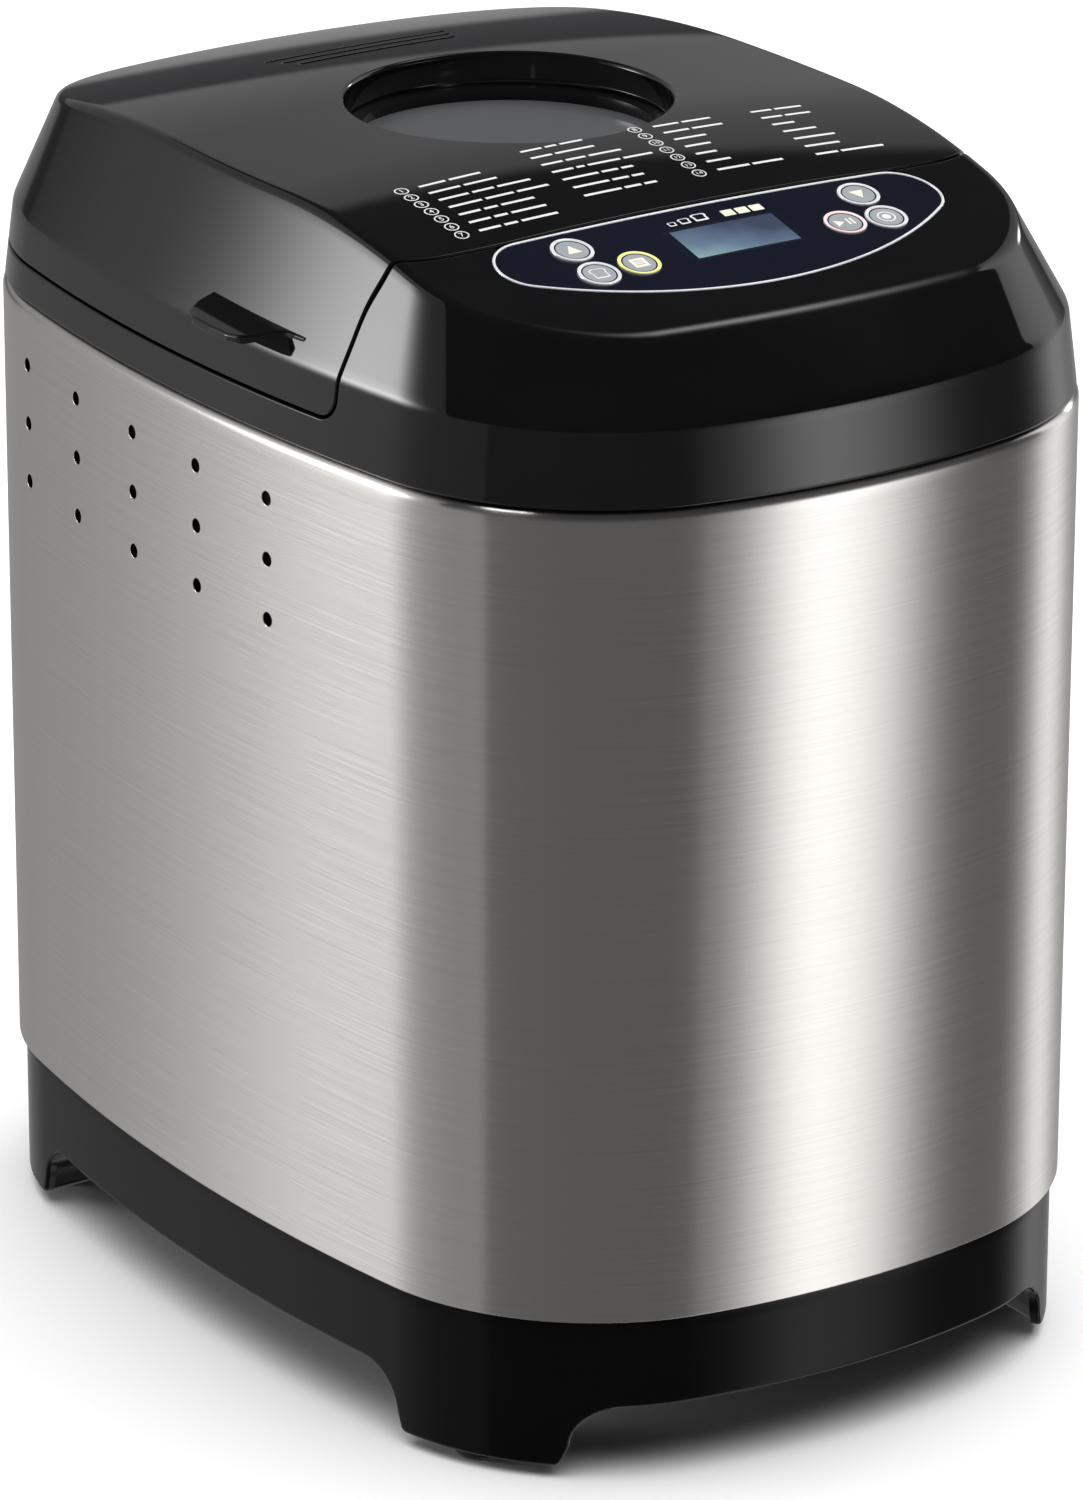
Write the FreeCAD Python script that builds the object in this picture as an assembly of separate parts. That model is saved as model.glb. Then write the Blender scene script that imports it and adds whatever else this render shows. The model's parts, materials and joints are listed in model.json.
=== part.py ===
import FreeCAD, Part
import math
import os

V = FreeCAD.Vector
os.makedirs("parts", exist_ok=True)

# ---------------------------------------------------------------- driving dimensions (mm)
# plan section of the body: bowed rounded rectangle
SEC_W0 = 95.28        # half width at the corner points
SEC_D0 = 133.87       # half depth at the corner points
SEC_BS = 15.27        # outward bow of the sides
SEC_BF = 21.18        # outward bow of front and back
SEC_RC = 72.39        # corner radius

Z_LEG = 3.5           # underside of the legs, above the table
Z_SKIRT = 20.3        # lower edge of the base skirt between the legs
Z_STEEL0 = 45.5       # lower edge of the steel wrap
Z_STEEL1 = 265.9      # upper edge of the steel wrap
Z_RIM0 = 266.3        # lower edge of the black upper housing
Z_DECK = 275.7        # top of the fixed rim, under the lid
Z_LID = 276.4         # lower edge of the lid
Z_CREASE = 287.0      # crease between the upright band and the sloping flank
Z_TOPSEC = 320.0      # height at which the upper flank section is given
INSET_RIM = 0.6       # inset of the black housing at its lower edge
INSET_CREASE = 3.2
INSET_TOPSEC = 18.2
Y_TOP_FRONT = -114.0  # front of the upper flank section
TOP_FRONT_R = 900.0  # bow of the front edge of the upper flank section
TOP_FRONT_RC = 40.0  # front corner radius of the upper flank section
Y_TOP_BACK = 134.5
SKIN = 2.6            # wall of the black mouldings

# crowned top: profile along the depth and bow across the width
PANEL_TILT = 13.65    # forward slope of the control area, degrees
PANEL_Y = -95.0       # reference point of the control area
PANEL_Z = 314.2
TOP_Y1 = -76.0        # slope ends here
TOP_Y2 = -20.0        # top is level from here
TOP_Y3 = 30.0         # and falls away from here
TOP_RR = 420.0        # radius of the rear fall
CROWN_K = 0.0007      # 1/radius of the bow across the width
LID_CROWN = 1.2       # extra rise of the lid at its middle

SEAM_GAP = 0.7        # gap between lid and fixed housing
SEAM_Y_SIDE = -68.0   # lid seam on the flanks
LID_BACK = 141.5      # flat rear face of the lid
HINGE_Y = 139.0
HINGE_Z = 279.5
HINGE_R = 4.5
PIN_R = 2.0

WINDOW_Y = 10.2
SCREW_X = 90.5       # liner screws
WINDOW_R = 43.5
GLASS_Z0 = 309.4
GLASS_Z1 = 312.6

STEEL_T = 0.8
AXIS_Y = 26.0         # drive axis, centre of pan and oven
MOTOR_Y = -104.0      # motor axis
POST_X = 64.0         # chassis posts
PULLEY_R = 45.0
MOTOR_PULLEY_R = 8.0

OVEN_X = 78.0         # oven inside, half width
OVEN_Y = 84.0         # oven inside, half depth
OVEN_R = 31.0
OVEN_Z0 = 108.0
OVEN_Z1 = 271.5
HEATER_Z = 146.0
HEATER_R = 3.2

PAN_Z0 = 124.0
PAN_Z1 = 247.0
PAN_PIVOT_Z = 241.0

BUTTON_R = 5.7
BUTTON_HOLE_R = 6.0
BUTTONS = [("button_up", -44.6, -86.3), ("button_loaf", -44.6, -98.6), ("button_menu", -32.0, -97.9),
           ("button_down", 44.6, -86.3), ("button_crust", 44.6, -98.6), ("button_start", 32.0, -97.9)]
LCD_W, LCD_H, LCD_Y = 35.0, 15.2, -94.4

VENT_R = 1.9
VENT_ROWS = [249.2, 232.7, 216.3]
VENT_COLS = [87.0, 55.0, 22.6, -9.8, -42.2]

# ---------------------------------------------------------------- helpers
parts = {}


def put(name, shape):
    parts[name] = shape


def box(x0, y0, z0, x1, y1, z1):
    return Part.makeBox(x1 - x0, y1 - y0, z1 - z0, V(x0, y0, z0))


def cyl(x, y, z0, z1, r):
    return Part.makeCylinder(r, z1 - z0, V(x, y, z0))


def cyl_x(x0, x1, y, z, r):
    return Part.makeCylinder(r, x1 - x0, V(x0, y, z), V(1, 0, 0))


def cyl_y(x, y0, y1, z, r):
    return Part.makeCylinder(r, y1 - y0, V(x, y0, z), V(0, 1, 0))


def tube(x, y, z0, z1, ro, ri):
    return cyl(x, y, z0, z1, ro).cut(cyl(x, y, z0 - 1, z1 + 1, ri))


def fuse(shapes):
    s = shapes[0].multiFuse(shapes[1:]) if len(shapes) > 1 else shapes[0]
    return s.removeSplitter()


def corner_centre(cx, rs, cy, rf, rc, sign):
    # centre of the corner arc, tangent inside the side arc (cx, 0, rs) and the end arc (0, cy, rf)
    ra, rb = rf - rc, rs - rc
    dx, dy = cx, -cy
    dd = math.hypot(dx, dy)
    a = (ra * ra - rb * rb + dd * dd) / (2 * dd)
    h = math.sqrt(max(ra * ra - a * a, 0.0))
    mx, my = a * dx / dd, cy + a * dy / dd
    for s in (1, -1):
        c = (mx - s * h * dy / dd, my + s * h * dx / dd)
        if c[0] > 0 and c[1] * sign > 0:
            return c
    raise ValueError("no corner")


RF = (SEC_W0 ** 2 + SEC_BF ** 2) / (2 * SEC_BF)
RS = (SEC_D0 ** 2 + SEC_BS ** 2) / (2 * SEC_BS)
SIDE_CX = SEC_W0 + SEC_BS - RS
BACK_CY = SEC_D0 + SEC_BF - RF


def bowed_wire(cx, rs, cyb, rb, cyf, rf, rcb, rcf, d, z):
    # eight tangent arcs; every arc keeps its centre and loses d of radius
    cb = corner_centre(cx, rs, cyb, rb, rcb, 1)
    cf = corner_centre(cx, rs, cyf, rf, rcf, -1)

    def on(c, r, toward):
        l = math.hypot(toward[0] - c[0], toward[1] - c[1])
        return ((toward[0] - c[0]) / l * r + c[0], (toward[1] - c[1]) / l * r + c[1])

    def away(c, r, frm):
        l = math.hypot(c[0] - frm[0], c[1] - frm[1])
        return (c[0] + (c[0] - frm[0]) / l * r, c[1] + (c[1] - frm[1]) / l * r)

    s_b = away(cb, rcb - d, (cx, 0))
    e_b = away(cb, rcb - d, (0, cyb))
    s_f = away(cf, rcf - d, (cx, 0))
    e_f = away(cf, rcf - d, (0, cyf))

    def mid(c, r, p, q):
        m = ((p[0] + q[0]) / 2, (p[1] + q[1]) / 2)
        return on(c, r, m)

    m_b = mid(cb, rcb - d, s_b, e_b)
    m_f = mid(cf, rcf - d, s_f, e_f)
    right = (cx + rs - d, 0)
    back = (0, cyb + rb - d)
    front = (0, cyf - rf + d)

    def arc(p, m, q):
        return Part.Arc(V(p[0], p[1], z), V(m[0], m[1], z), V(q[0], q[1], z)).toShape()

    def mx(p):
        return (-p[0], p[1])

    edges = [arc(s_f, right, s_b), arc(s_b, m_b, e_b), arc(e_b, back, mx(e_b)), arc(mx(e_b), mx(m_b), mx(s_b)),
             arc(mx(s_b), mx(right), mx(s_f)), arc(mx(s_f), mx(m_f), mx(e_f)), arc(mx(e_f), front, e_f), arc(e_f, m_f, s_f)]
    return Part.Wire(edges)


def section(d, z):
    return bowed_wire(SIDE_CX, RS, BACK_CY, RF, -BACK_CY, RF, SEC_RC, SEC_RC, d, z)


def top_section(t, z):
    return bowed_wire(SIDE_CX, RS - INSET_TOPSEC, Y_TOP_BACK - 230.0, 230.0, Y_TOP_FRONT + TOP_FRONT_R, TOP_FRONT_R, 48.0, TOP_FRONT_RC, t, z)


def prism(d, z0, z1):
    return Part.Face(section(d, z0)).extrude(V(0, 0, z1 - z0))


def ring(d0, d1, z0, z1):
    return prism(d0, z0, z1).cut(prism(d1, z0 - 1, z1 + 1))


def round_rect(hx, hy, r, z, yc=0.0, xc=0.0):
    k = r * (1 - math.sqrt(0.5))
    p = []

    def pt(x, y):
        return V(x + xc, y + yc, z)

    p.append(Part.makeLine(pt(hx, -hy + r), pt(hx, hy - r)))
    p.append(Part.Arc(pt(hx, hy - r), pt(hx - k, hy - k), pt(hx - r, hy)).toShape())
    p.append(Part.makeLine(pt(hx - r, hy), pt(-hx + r, hy)))
    p.append(Part.Arc(pt(-hx + r, hy), pt(-hx + k, hy - k), pt(-hx, hy - r)).toShape())
    p.append(Part.makeLine(pt(-hx, hy - r), pt(-hx, -hy + r)))
    p.append(Part.Arc(pt(-hx, -hy + r), pt(-hx + k, -hy + k), pt(-hx + r, -hy)).toShape())
    p.append(Part.makeLine(pt(-hx + r, -hy), pt(hx - r, -hy)))
    p.append(Part.Arc(pt(hx - r, -hy), pt(hx - k, -hy + k), pt(hx, -hy + r)).toShape())
    return Part.Wire(p)


def rr_prism(hx, hy, r, z0, z1, yc=0.0, xc=0.0):
    return Part.Face(round_rect(hx, hy, r, z0, yc, xc)).extrude(V(0, 0, z1 - z0))


def poly_prism(points, vec):
    return Part.Face(Part.makePolygon([V(*p) for p in points] + [V(*points[0])])).extrude(V(*vec))


def rounded_path(points, radii):
    # straight runs joined by tangent arcs
    pts = [V(*p) for p in points]
    edges = []
    cur = pts[0]
    for i in range(1, len(pts) - 1):
        a = (pts[i - 1] - pts[i]).normalize()
        b = (pts[i + 1] - pts[i]).normalize()
        ang = a.getAngle(b)
        r = radii[i - 1]
        t = r / math.tan(ang / 2)
        p, q = pts[i] + a * t, pts[i] + b * t
        bis = (a + b).normalize()
        m = pts[i] + bis * (r / math.sin(ang / 2) - r)
        edges.append(Part.makeLine(cur, p))
        edges.append(Part.Arc(p, m, q).toShape())
        cur = q
    edges.append(Part.makeLine(cur, pts[-1]))
    return Part.Wire(edges)


def wire_tube(points, radii, r):
    path = rounded_path(points, radii)
    d = (V(*points[1]) - V(*points[0])).normalize()
    prof = Part.Wire(Part.makeCircle(r, V(*points[0]), d))
    mk = Part.BRepOffsetAPI.MakePipeShell(path)
    mk.add(prof, False, False)
    mk.setTransitionMode(1)
    mk.build()
    mk.makeSolid()
    return mk.shape()


# ---------------------------------------------------------------- master form of the black upper housing
TILT = math.radians(PANEL_TILT)


def top_profile(y):
    z1 = PANEL_Z + math.tan(TILT) * (TOP_Y1 - PANEL_Y)
    r1 = (TOP_Y2 - TOP_Y1) / math.sin(TILT)
    zl = z1 + r1 * (1 - math.cos(TILT))
    if y < TOP_Y1:
        return z1 + math.tan(TILT) * (y - TOP_Y1)
    if y < TOP_Y2:
        return zl - (r1 - math.sqrt(r1 * r1 - (TOP_Y2 - y) ** 2))
    if y < TOP_Y3:
        return zl
    return zl - (TOP_RR - math.sqrt(TOP_RR ** 2 - (y - TOP_Y3) ** 2))


def ease(t):
    t = min(1.0, max(0.0, t))
    return t * t * (3 - 2 * t)


def top_height(x, y):
    rise = LID_CROWN * ease((y + 70.0) / 58.0) * (1 - ease((y - 40.0) / 90.0)) * (1 - (x / 95.0) ** 2)
    return top_profile(y) - 0.5 * CROWN_K * x * x + rise


def above_top(t):
    rows = []
    for i in range(0, 12):
        x = -132.0 + 24.0 * i
        rows.append([V(x, y, top_height(x, y) - t) for y in [-176.0 + 8.0 * j for j in range(0, 45)]])
    surf = Part.BSplineSurface()
    surf.interpolate(rows)
    return surf.toShape().extrude(V(0, 0, 90))


def master(t, z0):
    k0 = INSET_RIM + t
    low = Part.makeLoft([section(k0, z0), section(INSET_CREASE + t, Z_CREASE)], True, True)
    high = Part.makeLoft([section(INSET_CREASE + t, Z_CREASE), top_section(t, Z_TOPSEC)], True, True)
    slope = (INSET_TOPSEC - INSET_CREASE) / (Z_TOPSEC - Z_CREASE)
    cap = Part.makeLoft([top_section(t, Z_TOPSEC), top_section(t + slope * 14.0, Z_TOPSEC + 14.0)], True, True)
    body = low.fuse([high, cap])
    return body.cut(above_top(t))


def fillet_ridge(s, radii):
    # round the edge where the flank meets the crowned top
    ridge = []
    for e in s.Edges:
        c = e.CenterOfMass
        if c.z > Z_CREASE + 6 and abs(c.z - top_height(c.x, c.y)) < 0.6 and e.Length > 8:
            if max(abs(v.Z - top_height(v.X, v.Y)) for v in e.Vertexes) < 0.05:
                ridge.append(e)
    for r in radii:
        try:
            f = s.makeFillet(r, ridge)
            if f.isValid() and 0.9 * s.Volume < f.Volume < s.Volume * 1.001:
                return f
        except Exception:
            pass
    print("ridge fillet failed", len(ridge))
    return s


MASTER = fillet_ridge(master(0.0, Z_RIM0), (6.0, 5.0, 4.0, 3.0))
MASTER_IN = master(SKIN, Z_RIM0 - 3.0)

SEAM_PTS = [(-150, SEAM_Y_SIDE), (-120, SEAM_Y_SIDE), (-100, SEAM_Y_SIDE), (-95, -68.6), (-91, -70.8), (-86, -73.3), (-80, -75.0), (-70, -76.0), (-35, -76.2)]
SEAM_PTS = SEAM_PTS + [(0, -76.2)] + [(-x, y) for x, y in reversed(SEAM_PTS)]


def seam_region(shift, y_back, z0=255.0, z1=345.0):
    # plan area behind the seam line moved by shift along the depth
    c = Part.BSplineCurve()
    c.interpolate([V(x, y + shift, z0) for x, y in SEAM_PTS])
    a, b = SEAM_PTS[0], SEAM_PTS[-1]
    pa, pb = V(a[0], a[1] + shift, z0), V(b[0], b[1] + shift, z0)
    qa, qb = V(a[0], y_back, z0), V(b[0], y_back, z0)
    w = Part.Wire([c.toShape(), Part.makeLine(pb, qb), Part.makeLine(qb, qa), Part.makeLine(qa, pa)])
    return Part.Face(w).extrude(V(0, 0, z1 - z0))


def seam_profile(gap, back, step):
    # side view of the lid area: level lower edge with a rounded front corner
    r = 6.0 + gap
    cy, cz = SEAM_Y_SIDE + 6.0, Z_LID + 6.0
    x = -150.0

    def p(y, z):
        return V(x, y, z)

    k = r * math.sqrt(0.5)
    edges = [Part.Arc(p(cy - r, cz), p(cy - k, cz - k), p(cy, cz - r)).toShape()]
    seq = [p(cy, cz - r)]
    if step:
        seq += [p(134.0, cz - r), p(134.0, cz - r + 2.6)]
    seq += [p(back, cz - r + (2.6 if step else 0.0)), p(back, 345), p(-95, 345), p(-95, cz), p(cy - r, cz)]
    for a, b in zip(seq[:-1], seq[1:]):
        edges.append(Part.makeLine(a, b))
    return Part.Face(Part.Wire(edges)).extrude(V(300, 0, 0))


# ---------------------------------------------------------------- base
def build_base():
    wall = ring(2.0, 4.8, Z_LEG, 45.5)
    ledge = ring(2.0, 9.0, 43.5, 45.5)
    up = ring(8.4, 10.4, 43.5, 52.0)
    floor = prism(4.0, 24.0, 26.5)
    legs = prism(2.0, Z_LEG, 24.5)
    s = fuse([legs, wall, ledge, up, floor])
    # open below the skirt along the sides and along front and back
    def opening(pts_left, along_x):
        (y0, z0), (y1, z1), (ym, zm), (y2, z2) = pts_left
        def p(h, z):
            return V(-160, h, z) if along_x else V(h, -200, z)
        e = [Part.makeLine(p(y0, z0), p(y1, z1)), Part.Arc(p(y1, z1), p(ym, zm), p(y2, z2)).toShape(),
             Part.makeLine(p(y2, z2), p(-y2, z2)), Part.Arc(p(-y2, z2), p(-ym, zm), p(-y1, z1)).toShape(),
             Part.makeLine(p(-y1, z1), p(-y0, z0)), Part.makeLine(p(-y0, z0), p(y0, z0))]
        f = Part.Face(Part.Wire(e))
        return f.extrude(V(320, 0, 0) if along_x else V(0, 400, 0))
    s = s.cut(opening([(-93.2, 0.0), (-90.2, 9.5), (-86.9, 16.2), (-78.0, Z_SKIRT)], True))
    s = s.cut(opening([(-79.6, 0.0), (-76.2, 9.0), (-73.2, 16.6), (-65.5, Z_SKIRT)], False))
    # hollow between the skirt and the floor, inside the skirt wall
    s = s.cut(rr_prism(70.0, 130.0, 20.0, Z_SKIRT - 4, 24.0).common(prism(4.8, Z_SKIRT - 5, 24.0)))
    s = s.cut(rr_prism(100.0, 84.0, 10.0, Z_SKIRT - 4, 24.0).common(prism(4.8, Z_SKIRT - 5, 24.0)))
    # hollow legs
    inner = prism(4.8, 7.0, 24.0)
    for sx in (1, -1):
        for sy in (1, -1):
            b = box(80.5, 95.5, 7.0, 130, 150, 24.0)
            if sx < 0:
                b = b.mirror(V(0, 0, 0), V(1, 0, 0))
            if sy < 0:
                b = b.mirror(V(0, 0, 0), V(0, 1, 0))
            s = s.cut(b.common(inner))
            s = s.cut(cyl(sx * 85.6, sy * 106.5, Z_LEG - 1, 8.0, 3.0))
            s = s.cut(cyl(sx * POST_X, 90.0 if sy > 0 else -72.0, 20.0, 30.0, 2.1))
    # air slots in the floor
    for i in range(7):
        x = -36.0 + 12.0 * i
        s = s.cut(box(x - 1.7, -40.0, 22.0, x + 1.7, 5.0, 30.0))
        s = s.cut(box(x - 1.7, 48.0, 22.0, x + 1.7, 93.0, 30.0))
    # cord inlet hole at the rear
    s = s.cut(cyl_y(46.0, 130.0, 160.0, 34.0, 5.2))
    return s


BASE = build_base()
put("base", BASE)

feet = []
for sx in (1, -1):
    for sy in (1, -1):
        pad = Part.makeCone(6.4, 7.2, 1.0, V(sx * 85.6, sy * 106.5, 0)).fuse(cyl(sx * 85.6, sy * 106.5, 1.0, Z_LEG, 7.2))
        feet.append(fuse([pad, cyl(sx * 85.6, sy * 106.5, Z_LEG, 7.0, 3.0)]))
put("rubber_feet", Part.makeCompound(feet))

# cord inlet: flanged ring in the rear skirt
gl = fuse([cyl_y(46.0, 143.0, 153.5, 34.0, 5.2), cyl_y(46.0, 148.6, 151.6, 34.0, 8.0)])
gl = gl.cut(cyl_y(46.0, 140.0, 160.0, 34.0, 3.6))
gl = gl.cut(BASE)
gl_s = max(gl.Solids, key=lambda q: q.Volume)
put("cord_gland", gl_s)

# ---------------------------------------------------------------- steel wrap
outer = prism(0.0, Z_STEEL0, Z_STEEL1)
top_edges = [e for e in outer.Edges if abs(e.CenterOfMass.z - Z_STEEL1) < 0.01]
outer = outer.makeFillet(2.6, top_edges)
inner = prism(STEEL_T, Z_STEEL0 + STEEL_T, Z_STEEL1 - STEEL_T)
top_edges = [e for e in inner.Edges if abs(e.CenterOfMass.z - (Z_STEEL1 - STEEL_T)) < 0.01]
inner = inner.makeFillet(1.8, top_edges)
wrap = outer.cut(inner).cut(prism(7.0, Z_STEEL0 - 5, Z_STEEL1 + 5))
holes = []
for y in VENT_COLS:
    for z in VENT_ROWS:
        holes.append(cyl_x(-130.0, 130.0, y, z, VENT_R))
wrap = wrap.cut(Part.makeCompound(holes))
put("steel_wrap", wrap)

# ---------------------------------------------------------------- fixed upper housing: rim and front pod
lid_cut = seam_region(-SEAM_GAP, 220.0).common(seam_profile(SEAM_GAP, 220.0, False))
frame = MASTER.cut(lid_cut)
pod_in = MASTER_IN.cut(seam_region(-SEAM_GAP - 2.5, 220.0))
below_deck = MASTER_IN.common(box(-200, -200, 250, 200, 200, 271.5))
frame = frame.cut(below_deck).cut(pod_in)
frame = frame.cut(rr_prism(80.0, 86.0, 33.0, 255.0, 300.0, AXIS_Y))
frame = frame.fuse(ring(3.6, 6.4, Z_STEEL1, 271.6)).removeSplitter()
# rear pockets for the lid's hinge barrels, and ears that carry the pins
ears = []
for sx in (1, -1):
    x0, x1 = (33.0, 51.0) if sx > 0 else (-51.0, -33.0)
    frame = frame.cut(box(x0, 132.5, 273.2, x1, 170.0, 290.0))
    for a, b in ((33.5, 37.5), (46.5, 50.5)):
        a, b = (a, b) if sx > 0 else (-b, -a)
        ear = cyl_x(a, b, HINGE_Y, HINGE_Z, HINGE_R).fuse(box(a, HINGE_Y - 4.2, 271.6, b, HINGE_Y + 4.2, HINGE_Z))
        ears.append(ear)
frame = fuse([frame] + ears)
for sx in (1, -1):
    frame = frame.cut(cyl_x(33.0 if sx > 0 else -51.0, 51.0 if sx > 0 else -33.0, HINGE_Y, HINGE_Z, PIN_R))

# ---------------------------------------------------------------- control panel, in the sloping panel frame
PANEL = FreeCAD.Placement(V(0, PANEL_Y, PANEL_Z), FreeCAD.Rotation(V(1, 0, 0), PANEL_TILT))
KN = CROWN_K * math.cos(TILT)


def v_of(y):
    return (y - PANEL_Y) / math.cos(TILT)


def place(s):
    s = s.copy()
    s.Placement = PANEL.multiply(s.Placement)
    return s


def crown_slab(n0, n1, hv=45.0, hu=90.0):
    # slab between two offsets of the crowned surface, in panel coordinates
    def arc(n):
        return Part.Arc(V(-hu, -hv, n - 0.5 * KN * hu * hu), V(0, -hv, n), V(hu, -hv, n - 0.5 * KN * hu * hu)).toShape()
    a, b = arc(n0), arc(n1)
    w = Part.Wire([a, Part.makeLine(a.Vertexes[-1].Point, b.Vertexes[-1].Point), b, Part.makeLine(b.Vertexes[0].Point, a.Vertexes[0].Point)])
    return Part.Face(w).extrude(V(0, 2 * hv, 0))


def outline(off):
    # panel outline: straight upper edge, round ends, bowed lower edge; off moves it inwards
    vt, vb = v_of(-77.4) - off, v_of(-117.6) + off
    re = 11.6 - off
    rb = 109.66 - off
    ce = (56.6, v_of(-77.4) - 11.6)
    cb = (0.0, v_of(-117.6) + 109.66)
    dx, dy = ce[0] - cb[0], ce[1] - cb[1]
    l = math.hypot(dx, dy)
    # lower arc runs into the end arc where the line between their centres leaves it
    tx, ty = ce[0] + dx / l * re, ce[1] + dy / l * re
    k = rb / (l + re)
    rb2 = l + re
    cb = (0.0, ce[1] - dy)
    low = cb[1] - rb2
    def p(u, v):
        return V(u, v, -20.0)
    e = [Part.makeLine(p(-ce[0], vt), p(ce[0], vt)),
         Part.Arc(p(ce[0], vt), p(ce[0] + re, ce[1]), p(tx, ty)).toShape(),
         Part.Arc(p(tx, ty), p(0, low), p(-tx, ty)).toShape(),
         Part.Arc(p(-tx, ty), p(-ce[0] - re, ce[1]), p(-ce[0], vt)).toShape()]
    return Part.Face(Part.Wire(e)).extrude(V(0, 0, 40))


recess = outline(0.0).common(crown_slab(-1.0, 12.0))
trim = outline(0.0).cut(outline(1.2)).common(crown_slab(-1.0, 0.25))
overlay = outline(1.2).common(crown_slab(-1.0, 0.0))
lens_v = v_of(LCD_Y)
lens_p = Part.makeBox(LCD_W, LCD_H, 40, V(-LCD_W / 2, lens_v - LCD_H / 2, -20))
lens = lens_p.common(crown_slab(-1.0, 0.05))
overlay = overlay.cut(lens_p)
frame = frame.cut(place(recess))
frame = frame.cut(place(Part.makeBox(LCD_W + 3, LCD_H + 2, 40, V(-LCD_W / 2 - 1.5, lens_v - LCD_H / 2 - 1, -20))))
button_shapes = {}
switches = []
for name, bx, by in BUTTONS:
    v = v_of(by)
    n0 = -0.5 * KN * bx * bx
    hole = Part.makeCylinder(BUTTON_HOLE_R, 40, V(bx, v, -20))
    overlay = overlay.cut(hole)
    frame = frame.cut(place(hole))
    cap = Part.makeCylinder(BUTTON_R, 2.9, V(bx, v, n0 - 2.4))
    top = [e for e in cap.Edges if abs(e.CenterOfMass.z - (n0 + 0.5)) < 0.01 and e.Length > 20]
    cap = cap.makeFillet(0.35, top)
    body = fuse([cap, Part.makeCylinder(5.2, 2.2, V(bx, v, n0 - 4.5)), Part.makeCylinder(1.9, 2.0, V(bx, v, n0 - 6.4)),
                 Part.makeCylinder(6.3, 0.9, V(bx, v, n0 - 4.6)).common(Part.makeBox(14, 10.6, 4, V(bx - 7, v - 5.3, n0 - 6)))])
    button_shapes[name] = body
    sw = fuse([Part.makeBox(6, 6, 3.4, V(bx - 3, v - 3, -12.0)), Part.makeCylinder(1.7, 4.7 + n0, V(bx, v, -12.0))])
    switches.append(sw)
put("top_frame", frame)
put("panel_trim", place(trim))
put("panel_overlay", place(overlay))
put("lcd_lens", place(lens))
for name, s in button_shapes.items():
    put(name, place(s))
put("tact_switches", Part.makeCompound([place(s) for s in switches]))
board = Part.makeBox(116, 28.5, 1.6, V(-58, -18.0, -13.6))
for u in (-54, 54):
    for v in (-14.5, 7.0):
        board = board.cut(Part.makeCylinder(1.6, 6, V(u, v, -16)))
put("control_board", place(board))
module = fuse([Part.makeBox(44, 20, 4.6, V(-22, lens_v - 10, -8.6)), Part.makeBox(38, 1.2, 3.6, V(-19, lens_v - 9.4, -12.0)), Part.makeBox(38, 1.2, 3.6, V(-19, lens_v + 8.2, -12.0))])
put("lcd_module", place(module))

# ---------------------------------------------------------------- lid
lid_area = seam_region(0.0, LID_BACK).common(seam_profile(0.0, LID_BACK, True))
lid_out = MASTER.common(lid_area)
lid_hollow = MASTER_IN.common(seam_region(2.5, LID_BACK - 2.5))
lid = lid_out.cut(lid_hollow)
top_of_lid = MASTER.common(seam_region(0.0, LID_BACK))
well = top_of_lid.common(cyl(0, WINDOW_Y, GLASS_Z0 - 2.0, 340, WINDOW_R + 2.2))
bosses = []
for sx in (1, -1):
    for y in (-45.0, 85.0):
        bosses.append(top_of_lid.common(cyl(sx * SCREW_X, y, 280.0, 340, 4.2)))
lid = fuse([lid, well] + bosses)
lid = lid.cut(cyl(0, WINDOW_Y, GLASS_Z0, 345, WINDOW_R))
lid = lid.cut(cyl(0, WINDOW_Y, 290.0, 345, 37.0))
for sx in (1, -1):
    for y in (-45.0, 85.0):
        lid = lid.cut(cyl(sx * SCREW_X, y, 279.0, 294.0, 1.5))
# air slots behind the window
for i, y in enumerate((74.0, 79.6, 85.2)):
    h = 25.0 + 2.0 * i
    lid = lid.cut(rr_prism(h, 1.1, 1.05, 300.0, 345.0, y))


# finger tabs under the edge of each flank
def tab():
    def zz(x):
        return 295.0 + 0.2 * (x + 103.5)
    pts = [(-99.0, -9.0), (-104.0, -9.4), (-109.5, -10.6), (-113.2, -14.2), (-115.2, -19.5), (-115.8, -26.0), (-115.0, -33.0), (-112.6, -38.6), (-108.4, -41.6), (-103.0, -42.4), (-99.0, -42.4)]
    a = V(pts[0][0], pts[0][1], zz(pts[0][0]))
    c = Part.BSplineCurve()
    mid = [V(x, y, zz(x)) for x, y in pts[1:-1]]
    c.interpolate(mid)
    b = V(pts[-1][0], pts[-1][1], zz(pts[-1][0]))
    w = Part.Wire([Part.makeLine(a, mid[0]), c.toShape(), Part.makeLine(mid[-1], b), Part.makeLine(b, a)])
    s = Part.Face(w).extrude(V(0, 0, -2.2))
    w1 = Part.makePolygon([V(-99, -41.0, 295.4), V(-106.2, -41.0, 294.4), V(-106.6, -41.0, 291.6), V(-99, -41.0, 291.0), V(-99, -41.0, 295.4)])
    w2 = Part.makePolygon([V(-98, -51.5, 293.2), V(-103.6, -51.5, 292.6), V(-103.8, -51.5, 290.8), V(-98, -51.5, 290.4), V(-98, -51.5, 293.2)])
    fin = Part.makeLoft([w1, w2], True, True)
    return s, fin


tab_l, fin_l = tab()
core = lid_hollow
lid_adds = [tab_l.cut(core), fin_l.cut(core)]
lid_adds += [q.mirror(V(0, 0, 0), V(1, 0, 0)) for q in lid_adds]
lid = fuse([lid] + lid_adds)
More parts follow.
